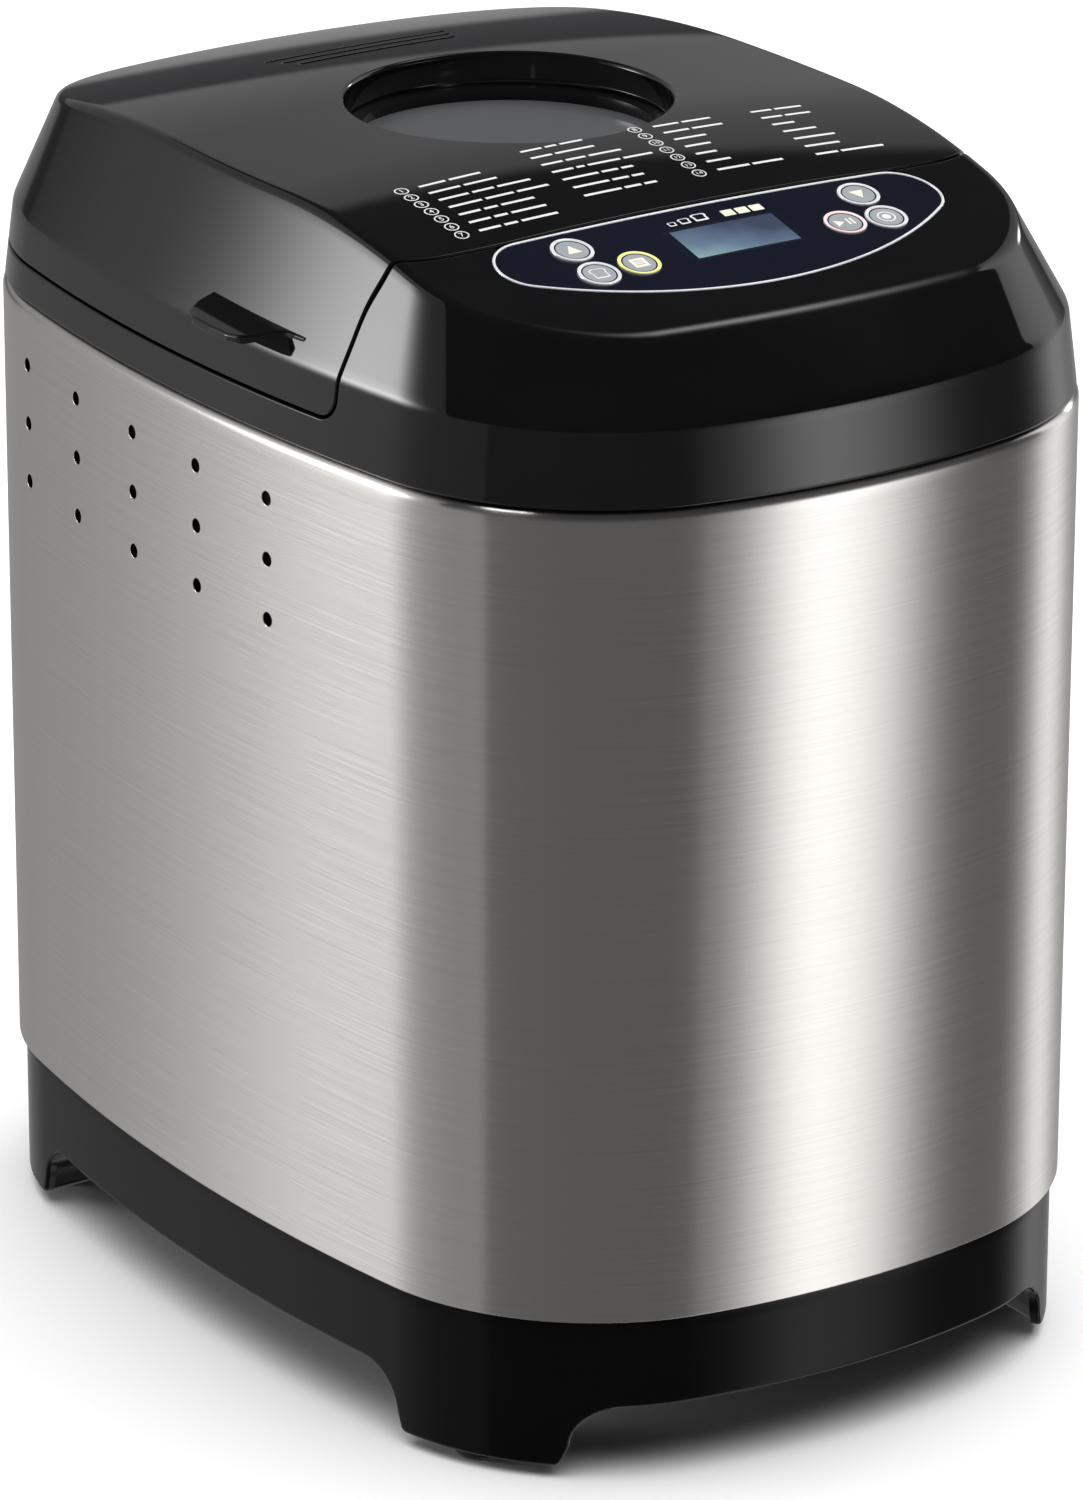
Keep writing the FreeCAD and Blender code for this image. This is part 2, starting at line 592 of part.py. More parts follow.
# hinge: barrels on the lid, room for the ears of the housing
for sx in (1, -1):
    x0, x1 = (38.0, 46.0) if sx > 0 else (-46.0, -38.0)
    arm = top_of_lid.common(box(x0, 134.6, HINGE_Z, x1, LID_BACK, 345.0))
    arm = arm.common(box(x0, 130.0, HINGE_Z, x1, LID_BACK, 300.0))
    barrel = cyl_x(x0, x1, HINGE_Y, HINGE_Z, HINGE_R)
    lid = fuse([lid, arm, barrel])
    for a, b in ((33.0, 38.0), (46.0, 51.0)):
        a, b = (a, b) if sx > 0 else (-b, -a)
        lid = lid.cut(cyl_x(a, b, HINGE_Y, HINGE_Z, HINGE_R + 0.8))
        lid = lid.cut(box(a, HINGE_Y - HINGE_R - 0.8, 270.0, b, 145.0, HINGE_Z))
    lid = lid.cut(cyl_x(x0 - 1, x1 + 1, HINGE_Y, HINGE_Z, PIN_R + 0.05))
put("lid_shell", lid)

pins = []
for sx in (1, -1):
    pins.append(cyl_x(33.5 if sx > 0 else -50.5, 50.5 if sx > 0 else -33.5, HINGE_Y, HINGE_Z, PIN_R))
put("hinge_pins", Part.makeCompound(pins))

put("window_glass", cyl(0, WINDOW_Y, GLASS_Z0, GLASS_Z1, WINDOW_R - 0.3))
put("window_gasket", tube(0, WINDOW_Y, GLASS_Z0 - 3.2, GLASS_Z0 - 2.0, 41.5, 37.2))

flange = prism(8.2, 279.0, 280.0).common(box(-200, -64.6, 270, 200, 131.0, 290))
rec = rr_prism(76.8, 81.8, 30.8, 279.0, 291.0, AXIS_Y)
rec_in = rr_prism(76.0, 81.0, 30.0, 278.0, 290.2, AXIS_Y)
collar = tube(0, WINDOW_Y, 290.4, GLASS_Z0 - 3.2, 38.8, 38.0)
liner = fuse([flange, rec, collar]).cut(rec_in).cut(cyl(0, WINDOW_Y, 285.0, GLASS_Z0, 38.0))
for sx in (1, -1):
    for y in (-45.0, 85.0):
        liner = liner.cut(cyl(sx * SCREW_X, y, 276.0, 284.0, 1.6))
put("lid_liner", liner)
seal = rr_prism(85.0, 89.9, 34.0, 276.1, 279.0, 26.5).cut(rr_prism(81.0, 87.0, 30.0, 275.0, 280.0, 26.0))
sb = []
for sx in (1, -1):
    for y in (-45.0, 85.0):
        sb.append(fuse([cyl(sx * SCREW_X, y, 277.2, 279.0, 3.4), cyl(sx * SCREW_X, y, 279.0, 292.0, 1.5)]))
put("lid_seal", seal)
put("liner_screws", Part.makeCompound(sb))

# ---------------------------------------------------------------- oven
oven = rr_prism(OVEN_X + 0.8, OVEN_Y + 0.8, OVEN_R + 0.8, OVEN_Z0, OVEN_Z1, AXIS_Y)
oven = oven.fuse(rr_prism(OVEN_X + 7.0, OVEN_Y + 7.0, OVEN_R + 7.0, OVEN_Z1 - 0.8, OVEN_Z1, AXIS_Y))
oven = oven.cut(rr_prism(OVEN_X, OVEN_Y, OVEN_R, OVEN_Z0 + 0.8, OVEN_Z1 + 1, AXIS_Y)).removeSplitter()
oven = oven.cut(cyl(0, AXIS_Y, 100, 115, 12.5))
for x in (-10.0, 10.0):
    oven = oven.cut(cyl_y(x, -75.0, -40.0, HEATER_Z, 6.0))
oven = oven.cut(cyl_y(-36.0, -75.0, -40.0, 205.0, 3.2))
put("oven_chamber", oven)

seat = fuse([tube(0, AXIS_Y, 108.8, 109.8, 44.0, 26.0), tube(0, AXIS_Y, 108.8, 119.0, 32.6, 30.6)])
put("pan_seat", seat)
clips = []
for sx in (1, -1):
    c = fuse([box(61.6, AXIS_Y - 9, 108.8, 62.6, AXIS_Y + 9, 140.0), box(61.6, AXIS_Y - 9, 108.8, 72.0, AXIS_Y + 9, 109.8)])
    clips.append(c if sx > 0 else c.mirror(V(0, 0, 0), V(1, 0, 0)))
put("pan_clips", Part.makeCompound(clips))

hx, hy = 70.5, 76.6
yf = AXIS_Y - hy
heater_pts = [(-10.0, -80.0, HEATER_Z), (-10.0, yf, HEATER_Z), (-hx, yf, HEATER_Z), (-hx, AXIS_Y + hy, HEATER_Z),
              (hx, AXIS_Y + hy, HEATER_Z), (hx, yf, HEATER_Z), (10.0, yf, HEATER_Z), (10.0, -80.0, HEATER_Z)]
heater = wire_tube(heater_pts, [5.0, 26.0, 26.0, 26.0, 26.0, 5.0], HEATER_R)
put("heater", heater)
ins = []
for x in (-10.0, 10.0):
    q = fuse([cyl_y(x, -66.0, -56.5, HEATER_Z, 6.0), cyl_y(x, -66.0, -58.8, HEATER_Z, 8.0)])
    ins.append(q.cut(cyl_y(x, -90.0, -40.0, HEATER_Z, HEATER_R)))
put("heater_insulators", Part.makeCompound(ins))
hc = [box(73.8, AXIS_Y - 5, 142.0, 78.0, AXIS_Y + 5, 150.0), box(-78.0, AXIS_Y - 5, 142.0, -73.8, AXIS_Y + 5, 150.0),
      box(-5, AXIS_Y + hy + 3.3, 142.0, 5, AXIS_Y + OVEN_Y, 150.0)]
put("heater_clips", Part.makeCompound(hc))
put("temp_sensor", fuse([cyl_y(-36.0, -76.0, -53.0, 205.0, 3.2), cyl_y(-36.0, -63.0, -58.8, 205.0, 6.0)]))
put("thermal_fuse", fuse([box(-80.6, 0.0, 176.0, -78.8, 16.0, 190.0), cyl_y(-83.0, -2.0, 18.0, 183.0, 2.4), box(-83.0, 3.0, 181.0, -80.0, 13.0, 185.0)]))

# ---------------------------------------------------------------- chassis and drive
plate = prism(16.0, 84.0, 86.0).common(box(-86, -139, 80, 86, 108, 90))
plate = plate.cut(cyl(0, AXIS_Y, 80, 90, 11.2)).cut(cyl(0, MOTOR_Y, 80, 90, 14.0))
posts, screws, spacers, msc = [], [], [], []
for sx in (1, -1):
    for y in (-72.0, 90.0):
        x = sx * POST_X
        plate = plate.cut(cyl(x, y, 80, 90, 2.1))
        posts.append(tube(x, y, 26.5, 84.0, 6.0, 2.0))
        screws.append(fuse([cyl(x, y, 86.0, 88.2, 4.2), cyl(x, y, 66.0, 86.0, 2.0)]))
        screws.append(fuse([cyl(x, y, 21.8, 24.0, 4.2), cyl(x, y, 24.0, 46.0, 2.0)]))
    for y in (-30.0, 84.0):
        spacers.append(tube(sx * 52.0, y, 86.0, 108.0, 6.0, 2.2))
    for dy in (-27.5, 27.5):
        x, y = sx * 27.5, MOTOR_Y + dy
        plate = plate.cut(cyl(x, y, 80, 90, 2.0))
        msc.append(fuse([cyl(x, y, 82.0, 140.6, 2.0), cyl(x, y, 138.4, 140.6, 3.6)]))
put("chassis_plate", plate)
put("chassis_posts", Part.makeCompound(posts))
put("chassis_screws", Part.makeCompound(screws))
put("oven_spacers", Part.makeCompound(spacers))
put("motor_screws", Part.makeCompound(msc))

bh = fuse([cyl(0, AXIS_Y, 86.0, 89.5, 24.0), cyl(0, AXIS_Y, 66.0, 104.0, 11.0)])
bh = bh.cut(cyl(0, AXIS_Y, 60, 110, 7.0))
put("bearing_housing", bh)
put("shaft_bushes", Part.makeCompound([tube(0, AXIS_Y, 66.0, 77.0, 7.0, 4.05), tube(0, AXIS_Y, 93.0, 104.0, 7.0, 4.05)]))
put("drive_shaft", cyl(0, AXIS_Y, 42.0, 113.5, 4.0))
cp = fuse([cyl(0, AXIS_Y, 109.6, 113.5, 8.0), cyl(0, AXIS_Y, 111.0, 113.5, 17.0)])
lug_ring = tube(0, AXIS_Y, 113.5, 119.0, 15.5, 9.0)
wedge = poly_prism([(0, AXIS_Y, 113.5), (22, AXIS_Y - 9, 113.5), (22, AXIS_Y + 9, 113.5)], (0, 0, 5.5))
wedge2 = poly_prism([(0, AXIS_Y, 113.5), (-22, AXIS_Y + 9, 113.5), (-22, AXIS_Y - 9, 113.5)], (0, 0, 5.5))
cp = fuse([cp, lug_ring.common(wedge), lug_ring.common(wedge2)]).cut(cyl(0, AXIS_Y, 100, 113.6, 4.0))
put("drive_coupling", cp)
pl = fuse([tube(0, AXIS_Y, 49.0, 63.0, PULLEY_R, PULLEY_R - 4), tube(0, AXIS_Y, 49.0, 50.4, PULLEY_R + 3, PULLEY_R - 4),
           tube(0, AXIS_Y, 61.6, 63.0, PULLEY_R + 3, PULLEY_R - 4), cyl(0, AXIS_Y, 54.5, 57.5, PULLEY_R - 3), cyl(0, AXIS_Y, 49.0, 63.0, 10.0)])
pl = pl.cut(cyl(0, AXIS_Y, 40, 70, 4.0))
for i in range(5):
    a = math.radians(72 * i + 18)
    pl = pl.cut(cyl(25.5 * math.cos(a), AXIS_Y + 25.5 * math.sin(a), 50, 62, 9.0))
put("drive_pulley", pl)
hexa = [(6.4 * math.cos(math.radians(60 * i)), AXIS_Y + 6.4 * math.sin(math.radians(60 * i)), 44.2) for i in range(6)]
put("pulley_nut", poly_prism(hexa, (0, 0, 4.8)).cut(cyl(0, AXIS_Y, 40, 60, 4.0)))


def belt_face(r1, r2, z):
    c1, c2 = (0.0, AXIS_Y), (0.0, MOTOR_Y)
    d = AXIS_Y - MOTOR_Y
    cb = (r1 - r2) / d
    sb_ = math.sqrt(1 - cb * cb)
    def t(c, r, s):
        return V(c[0] + r * s * sb_, c[1] - r * cb, z)
    e = [Part.Arc(t(c1, r1, 1), V(0, c1[1] + r1, z), t(c1, r1, -1)).toShape(), Part.makeLine(t(c1, r1, -1), t(c2, r2, -1)),
         Part.Arc(t(c2, r2, -1), V(0, c2[1] - r2, z), t(c2, r2, 1)).toShape(), Part.makeLine(t(c2, r2, 1), t(c1, r1, 1))]
    return Part.Face(Part.Wire(e))


belt = belt_face(PULLEY_R + 3.0, MOTOR_PULLEY_R + 3.0, 51.0).extrude(V(0, 0, 10)).cut(belt_face(PULLEY_R + 0.5, MOTOR_PULLEY_R + 0.5, 50.0).extrude(V(0, 0, 12)))
put("drive_belt", belt)

stator = rr_prism(34.5, 34.5, 12.0, 98.0, 124.0, MOTOR_Y).cut(cyl(0, MOTOR_Y, 90, 130, 18.0))
bell_lo = rr_prism(33.5, 33.5, 12.0, 86.0, 98.0, MOTOR_Y).cut(rr_prism(24.0, 24.0, 12.0, 89.0, 99.0, MOTOR_Y)).cut(cyl(0, MOTOR_Y, 80, 100, 4.05))
bell_hi = rr_prism(33.5, 33.5, 12.0, 124.0, 138.4, MOTOR_Y).cut(rr_prism(24.0, 24.0, 12.0, 123.0, 135.0, MOTOR_Y)).cut(cyl(0, MOTOR_Y, 120, 150, 4.05))
for sx in (1, -1):
    for dy in (-27.5, 27.5):
        h = cyl(sx * 27.5, MOTOR_Y + dy, 80, 145, 2.0)
        stator, bell_lo, bell_hi = stator.cut(h), bell_lo.cut(h), bell_hi.cut(h)
put("motor_stator", stator)
put("motor_bells", Part.makeCompound([bell_lo, bell_hi]))
put("motor_rotor", fuse([cyl(0, MOTOR_Y, 43.0, 141.0, 4.0), cyl(0, MOTOR_Y, 99.0, 123.0, 17.4)]))
mp = fuse([cyl(0, MOTOR_Y, 49.0, 63.0, MOTOR_PULLEY_R), cyl(0, MOTOR_Y, 49.0, 50.4, 11.5), cyl(0, MOTOR_Y, 61.6, 68.0, 11.5)]).cut(cyl(0, MOTOR_Y, 40, 70, 4.0))
put("motor_pulley", mp)
cap_b = Part.makeBox(24, 38, 30, V(46, -122, 86))
cap_b = cap_b.makeFillet(2.5, cap_b.Edges)
put("run_capacitor", cap_b)
pb = Part.makeBox(1.6, 56, 50, V(-56, -128, 92))
put("power_board", fuse([pb, box(-64, -124, 86, -54.4, -118, 96).cut(box(-60, -125, 96, -54, -117, 97)), box(-64, -84, 86, -54.4, -78, 96)]))
pp = [Part.makeBox(20, 24, 22, V(-76, -112, 100)), Part.makeBox(14, 16, 12, V(-70, -86, 108)), Part.makeCylinder(6, 18, V(-56, -84, 131), V(-1, 0, 0))]
put("power_parts", Part.makeCompound(pp))

# ---------------------------------------------------------------- bread pan
pan_out = Part.makeLoft([round_rect(60, 70, 26, PAN_Z0, AXIS_Y), round_rect(64, 75, 30, PAN_Z1, AXIS_Y)], True, True)
pan_in = Part.makeLoft([round_rect(57.6, 67.6, 24, PAN_Z0 + 3, AXIS_Y), round_rect(61.9, 72.9, 28, PAN_Z1 + 1.0, AXIS_Y)], True, True)
rim = rr_prism(67.5, 78.5, 33.5, PAN_Z1 - 2.4, PAN_Z1, AXIS_Y)
foot = tube(0, AXIS_Y, 110.1, PAN_Z0 + 1, 30.0, 27.0)
ears = [cyl_x(62.6, 69.0, AXIS_Y, PAN_PIVOT_Z, 4.6), cyl_x(-69.0, -62.6, AXIS_Y, PAN_PIVOT_Z, 4.6)]
pan = fuse([pan_out, rim, foot] + ears).cut(pan_in).cut(cyl(0, AXIS_Y, 115, 130, 9.0))
pan = pan.cut(cyl_x(64.8, 75, AXIS_Y, PAN_PIVOT_Z, 2.06)).cut(cyl_x(-75, -64.8, AXIS_Y, PAN_PIVOT_Z, 2.06))
put("bread_pan", pan)
put("pan_bush", fuse([cyl(0, AXIS_Y, 120.4, 127.0, 9.0), cyl(0, AXIS_Y, 120.4, PAN_Z0, 13.0)]).cut(cyl(0, AXIS_Y, 110, 130, 4.05)))
sh = fuse([cyl(0, AXIS_Y, 114.3, 146.0, 4.0), box(-3.0, AXIS_Y - 14.5, 114.3, 3.0, AXIS_Y + 14.5, 118.8)])
sh = sh.cut(box(-6, AXIS_Y + 3.0, 130.0, 6, AXIS_Y + 8, 150.0))
put("pan_shaft", sh)
handle = wire_tube([(65.2, AXIS_Y, PAN_PIVOT_Z), (73.0, AXIS_Y, PAN_PIVOT_Z), (73.0, AXIS_Y + 66, 249.6), (-73.0, AXIS_Y + 66, 249.6),
                    (-73.0, AXIS_Y, PAN_PIVOT_Z), (-65.2, AXIS_Y, PAN_PIVOT_Z)], [3.6, 9.0, 9.0, 3.6], 2.0)
put("pan_handle", handle)
blade = poly_prism([(-8.5, AXIS_Y - 2.6, 127.5), (43.0, AXIS_Y - 2.6, 127.5), (46.5, AXIS_Y - 2.6, 133.0), (41.0, AXIS_Y - 2.6, 146.0),
                    (24.0, AXIS_Y - 2.6, 158.0), (6.0, AXIS_Y - 2.6, 161.0), (-8.5, AXIS_Y - 2.6, 156.0)], (0, 5.2, 0))
vert = [e for e in blade.Edges if abs(e.Vertexes[0].Y - e.Vertexes[-1].Y) > 4]
blade = blade.makeFillet(2.0, vert)
pad = fuse([cyl(0, AXIS_Y, 127.5, 152.0, 8.5), blade])
bore = cyl(0, AXIS_Y, 120, 146.6, 4.05).cut(box(-6, AXIS_Y + 3.05, 129.0, 6, AXIS_Y + 8, 150.0))
pad = pad.cut(bore)
pad = pad.cut(cyl(0, AXIS_Y, 120, 130.2, 4.05))
put("kneading_paddle", pad)

# ---------------------------------------------------------------- write
for name, s in parts.items():
    bad = [q for q in s.Solids if not q.isValid()]
    print("%-20s solids %2d vol %10.1f %s" % (name, len(s.Solids), s.Volume, "INVALID" if bad or not s.isValid() else ""))
    if len(s.Solids) == 1:
        s = s.Solids[0]
    s.exportStep("parts/%s.step" % name)
print(len(parts), "nodes")
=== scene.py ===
import bpy
import json
import math
import numpy as np
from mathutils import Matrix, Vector


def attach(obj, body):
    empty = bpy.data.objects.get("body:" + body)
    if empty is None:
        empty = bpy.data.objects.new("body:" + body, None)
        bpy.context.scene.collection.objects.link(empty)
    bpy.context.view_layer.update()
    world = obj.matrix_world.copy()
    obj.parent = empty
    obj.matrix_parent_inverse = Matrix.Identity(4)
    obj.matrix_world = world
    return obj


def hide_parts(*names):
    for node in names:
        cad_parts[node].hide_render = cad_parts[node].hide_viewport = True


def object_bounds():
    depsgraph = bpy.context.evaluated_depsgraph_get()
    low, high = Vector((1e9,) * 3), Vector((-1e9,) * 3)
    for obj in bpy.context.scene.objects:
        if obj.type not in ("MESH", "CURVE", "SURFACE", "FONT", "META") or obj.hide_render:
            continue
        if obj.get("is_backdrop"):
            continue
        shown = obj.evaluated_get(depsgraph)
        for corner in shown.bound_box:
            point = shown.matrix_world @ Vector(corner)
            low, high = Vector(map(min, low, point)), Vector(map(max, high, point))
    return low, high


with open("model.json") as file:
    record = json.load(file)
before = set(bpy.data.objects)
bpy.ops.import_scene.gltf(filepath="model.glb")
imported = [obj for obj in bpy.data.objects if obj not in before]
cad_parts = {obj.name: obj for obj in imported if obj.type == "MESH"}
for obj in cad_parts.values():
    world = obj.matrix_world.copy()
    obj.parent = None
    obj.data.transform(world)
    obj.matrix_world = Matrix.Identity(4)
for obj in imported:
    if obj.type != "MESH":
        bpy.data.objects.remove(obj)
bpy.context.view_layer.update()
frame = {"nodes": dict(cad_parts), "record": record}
NODES = frame["nodes"]
MM = 0.001

# ---------------------------------------------------------------- dimensions of the object (mm)
SEC_W0, SEC_D0, SEC_BS, SEC_BF, SEC_RC = 95.28, 133.87, 15.27, 21.18, 72.39
Z_LEG, Z_SKIRT, Z_STEEL0, Z_STEEL1 = 3.5, 20.3, 45.5, 265.9
Z_RIM0, Z_DECK, Z_LID, Z_CREASE, Z_TOPSEC = 266.3, 275.7, 276.4, 287.0, 320.0
INSET_RIM, INSET_CREASE, INSET_TOPSEC = 0.6, 3.2, 18.2
Y_TOP_FRONT, Y_TOP_BACK = -114.0, 134.5
TOP_FRONT_R, TOP_FRONT_RC = 900.0, 40.0
PANEL_TILT, PANEL_Y, PANEL_Z = 13.65, -95.0, 314.2
TOP_Y1, TOP_Y2, TOP_Y3, TOP_RR, CROWN_K, LID_CROWN = -76.0, -20.0, 30.0, 420.0, 0.0007, 1.2
SEAM_GAP, SEAM_Y_SIDE, LID_BACK = 0.7, -68.0, 141.5
HINGE_Y, HINGE_Z, HINGE_R = 139.0, 279.5, 4.5
WINDOW_Y, WINDOW_R, GLASS_Z0, GLASS_Z1 = 10.2, 43.5, 309.4, 312.6
AXIS_Y = 26.0
BUTTONS = {"button_up": (-44.6, -86.3), "button_loaf": (-44.6, -98.6), "button_menu": (-32.0, -97.9),
           "button_down": (44.6, -86.3), "button_crust": (44.6, -98.6), "button_start": (32.0, -97.9)}
LCD_W, LCD_H, LCD_Y = 35.0, 15.2, -94.4
VENT_R = 1.9
VENT_ROWS = (249.2, 232.7, 216.3)
VENT_COLS = (87.0, 55.0, 22.6, -9.8, -42.2)
TILT = math.radians(PANEL_TILT)


# ---------------------------------------------------------------- surface tools
def unit(v):
    return v / np.maximum(np.linalg.norm(v, axis=-1, keepdims=True), 1e-12)


def ease(t):
    t = np.clip(t, 0.0, 1.0)
    return t * t * (3 - 2 * t)


def smooth_min(a, b, k):
    h = np.clip(0.5 + 0.5 * (b - a) / k, 0.0, 1.0)
    return b * (1 - h) + a * h - k * h * (1 - h)


def corner_centre(cx, rs, cy, rf, rc, sign):
    ra, rb = rf - rc, rs - rc
    dx, dy = cx, -cy
    dd = math.hypot(dx, dy)
    a = (ra * ra - rb * rb + dd * dd) / (2 * dd)
    h = math.sqrt(max(ra * ra - a * a, 0.0))
    mx, my = a * dx / dd, cy + a * dy / dd
    for s in (1, -1):
        c = (mx - s * h * dy / dd, my + s * h * dx / dd)
        if c[0] > 0 and c[1] * sign > 0:
            return c
    raise ValueError("no corner")


def arc_set(cx, rs, cyb, rb, cyf, rf, rcb, rcf):
    # eight tangent arcs, anticlockwise from the front end of the right side
    cb = corner_centre(cx, rs, cyb, rb, rcb, 1)
    cf = corner_centre(cx, rs, cyf, rf, rcf, -1)
    a_sb = math.atan2(cb[1], cb[0] - cx)
    a_sf = math.atan2(cf[1], cf[0] - cx)
    a_eb = math.atan2(cb[1] - cyb, cb[0])
    a_ef = math.atan2(cf[1] - cyf, cf[0])
    p = math.pi
    return [((cx, 0), rs, a_sf, a_sb), (cb, rcb, a_sb, a_eb), ((0, cyb), rb, a_eb, p - a_eb),
            ((-cb[0], cb[1]), rcb, p - a_eb, p - a_sb), ((-cx, 0), rs, p - a_sb, p - a_sf),
            ((-cf[0], cf[1]), rcf, p - a_sf, p - a_ef), ((0, cyf), rf, p - a_ef, 2 * p + a_ef),
            (cf, rcf, 2 * p + a_ef, 2 * p + a_sf)]


RF = (SEC_W0 ** 2 + SEC_BF ** 2) / (2 * SEC_BF)
RS = (SEC_D0 ** 2 + SEC_BS ** 2) / (2 * SEC_BS)
SIDE_CX = SEC_W0 + SEC_BS - RS
BACK_CY = SEC_D0 + SEC_BF - RF
S_ARCS = arc_set(SIDE_CX, RS, BACK_CY, RF, -BACK_CY, RF, SEC_RC, SEC_RC)
T_ARCS = arc_set(SIDE_CX, RS - INSET_TOPSEC, Y_TOP_BACK - 230.0, 230.0, Y_TOP_FRONT + TOP_FRONT_R, TOP_FRONT_R, 48.0, TOP_FRONT_RC)


def stations(counts):
    ks = np.concatenate([np.full(n, k) for k, n in enumerate(counts)])
    us = np.concatenate([np.arange(n) / n for n in counts])
    return ks, us


def on_arcs(arcs, ks, us, d):
    c = np.array([a[0] for a in arcs])[ks]
    r = np.array([a[1] for a in arcs])[ks]
    a0 = np.array([a[2] for a in arcs])[ks]
    a1 = np.array([a[3] for a in arcs])[ks]
    ang = a0 + (a1 - a0) * us
    n = np.stack([np.cos(ang), np.sin(ang)], 1)
    return c + (r - d)[:, None] * n, n


def with_z(xy, z):
    return np.concatenate([xy, np.broadcast_to(np.asarray(z, float).reshape(-1, 1), (len(xy), 1))], 1)


def slope_along(G, axis, closed):
    # second order tangent for uneven spacing
    if closed:
        a, b, c = np.roll(G, 1, axis), G, np.roll(G, -1, axis)
    else:
        G2 = np.moveaxis(G, axis, 0)
        first, last = 2 * G2[0] - G2[1], 2 * G2[-1] - G2[-2]
        E = np.concatenate([first[None], G2, last[None]], 0)
        a, b, c = (np.moveaxis(q, 0, axis) for q in (E[:-2], E[1:-1], E[2:]))
    h1 = np.maximum(np.linalg.norm(b - a, axis=-1, keepdims=True), 1e-9)
    h2 = np.maximum(np.linalg.norm(c - b, axis=-1, keepdims=True), 1e-9)
    return unit((c - b) / h2 * h1 + (b - a) / h1 * h2)


def grid_surface(G, closed=True, uv=None, wrap_t=False):
    ns, nt = G.shape[:2]
    N = unit(np.cross(slope_along(G, 0, closed), slope_along(G, 1, wrap_t)))
    idx = np.arange(ns * nt).reshape(ns, nt)
    nx = np.roll(idx, -1, 0)
    if not closed:
        idx_a, nx_a = idx[:-1], nx[:-1]
    else:
        idx_a, nx_a = idx, nx
    if wrap_t:
        up, nup = np.roll(idx_a, -1, 1), np.roll(nx_a, -1, 1)
        F = np.stack([idx_a, nx_a, nup, up], -1).reshape(-1, 4)
    else:
        F = np.stack([idx_a[:, :-1], nx_a[:, :-1], nx_a[:, 1:], idx_a[:, 1:]], -1).reshape(-1, 4)
    U = np.zeros((ns * nt, 2)) if uv is None else uv.reshape(-1, 2)
    return {"P": G.reshape(-1, 3), "N": N.reshape(-1, 3), "U": U, "F": [tuple(f) for f in F.tolist()]}


def clip(S, f, tol=0.012):
    # keeps the part of a surface where f is positive, with a clean cut along f = 0
    f = np.where(np.abs(f) < tol, 0.0, f)
    P, N, U = S["P"], S["N"], S["U"]
    fl = f.tolist()
    newP, newN, newU, cache, out = [], [], [], {}, []
    base = len(P)

    def cross_point(a, b):
        if fl[a] == 0.0:
            return a
        if fl[b] == 0.0:
            return b
        key = (a, b) if a < b else (b, a)
        if key not in cache:
            t = fl[a] / (fl[a] - fl[b])
            cache[key] = base + len(newP)
            newP.append(P[a] + (P[b] - P[a]) * t)
            newN.append(N[a] + (N[b] - N[a]) * t)
            newU.append(U[a] + (U[b] - U[a]) * t)
        return cache[key]

    for poly in S["F"]:
        ins = [fl[v] >= 0.0 for v in poly]
        if all(ins):
            if any(fl[v] > 0.0 for v in poly):
                out.append(poly)
            continue
        if not any(ins):
            continue
        res = []
        n = len(poly)
        for i in range(n):
            a, b = poly[i], poly[(i + 1) % n]
            if ins[i]:
                if not res or res[-1] != a:
                    res.append(a)
                if not ins[(i + 1) % n]:
                    q = cross_point(a, b)
                    if res[-1] != q:
                        res.append(q)
            elif ins[(i + 1) % n]:
                q = cross_point(a, b)
                if not res or res[-1] != q:
                    res.append(q)
        if len(res) > 1 and res[0] == res[-1]:
            res.pop()
        if len(res) >= 3:
            out.append(tuple(res))
    if newP:
        P = np.concatenate([P, np.array(newP)])
        N = unit(np.concatenate([N, np.array(newN)]))
        U = np.concatenate([U, np.array(newU)])
    used = np.zeros(len(P), bool)
    for poly in out:
        for v in poly:
            used[v] = True
    remap = np.cumsum(used) - 1
    return {"P": P[used], "N": N[used], "U": U[used], "F": [tuple(int(remap[v]) for v in poly) for poly in out]}


def open_edges(F, n):
    a = np.concatenate([np.array(p) for p in F])
    b = np.concatenate([np.roll(np.array(p), -1) for p in F])
    m = ~np.isin(a * n + b, b * n + a)
    nxt = {}
    for u, v in zip(a[m].tolist(), b[m].tolist()):
        nxt.setdefault(u, []).append(v)
    loops = []
    while nxt:
        start = next(iter(nxt))
        loop, cur = [], start
        while cur in nxt:
            loop.append(cur)
            v = nxt[cur].pop()
            if not nxt[cur]:
                del nxt[cur]
            cur = v
            if cur == start:
                break
        if len(loop) > 2:
            loops.append(loop)
    return loops


def edge_frames(P, N, loop, reach=0.35):
    # direction off the edge, in the surface, at each point of an open edge
    p, n = P[loop], N[loop]
    k = len(loop)
    seg = np.linalg.norm(np.roll(p, -1, 0) - p, axis=1)
    B = np.zeros_like(p)
    for i in range(k):
        j, d = i, 0.0
        while d < reach and j - i < k // 3:
            d += seg[j % k]
            j += 1
        m, d = i, 0.0
        while d < reach and i - m < k // 3:
            m -= 1
            d += seg[m % k]
        t = p[j % k] - p[m % k]
        B[i] = np.cross(t, n[i])
    return unit(B)


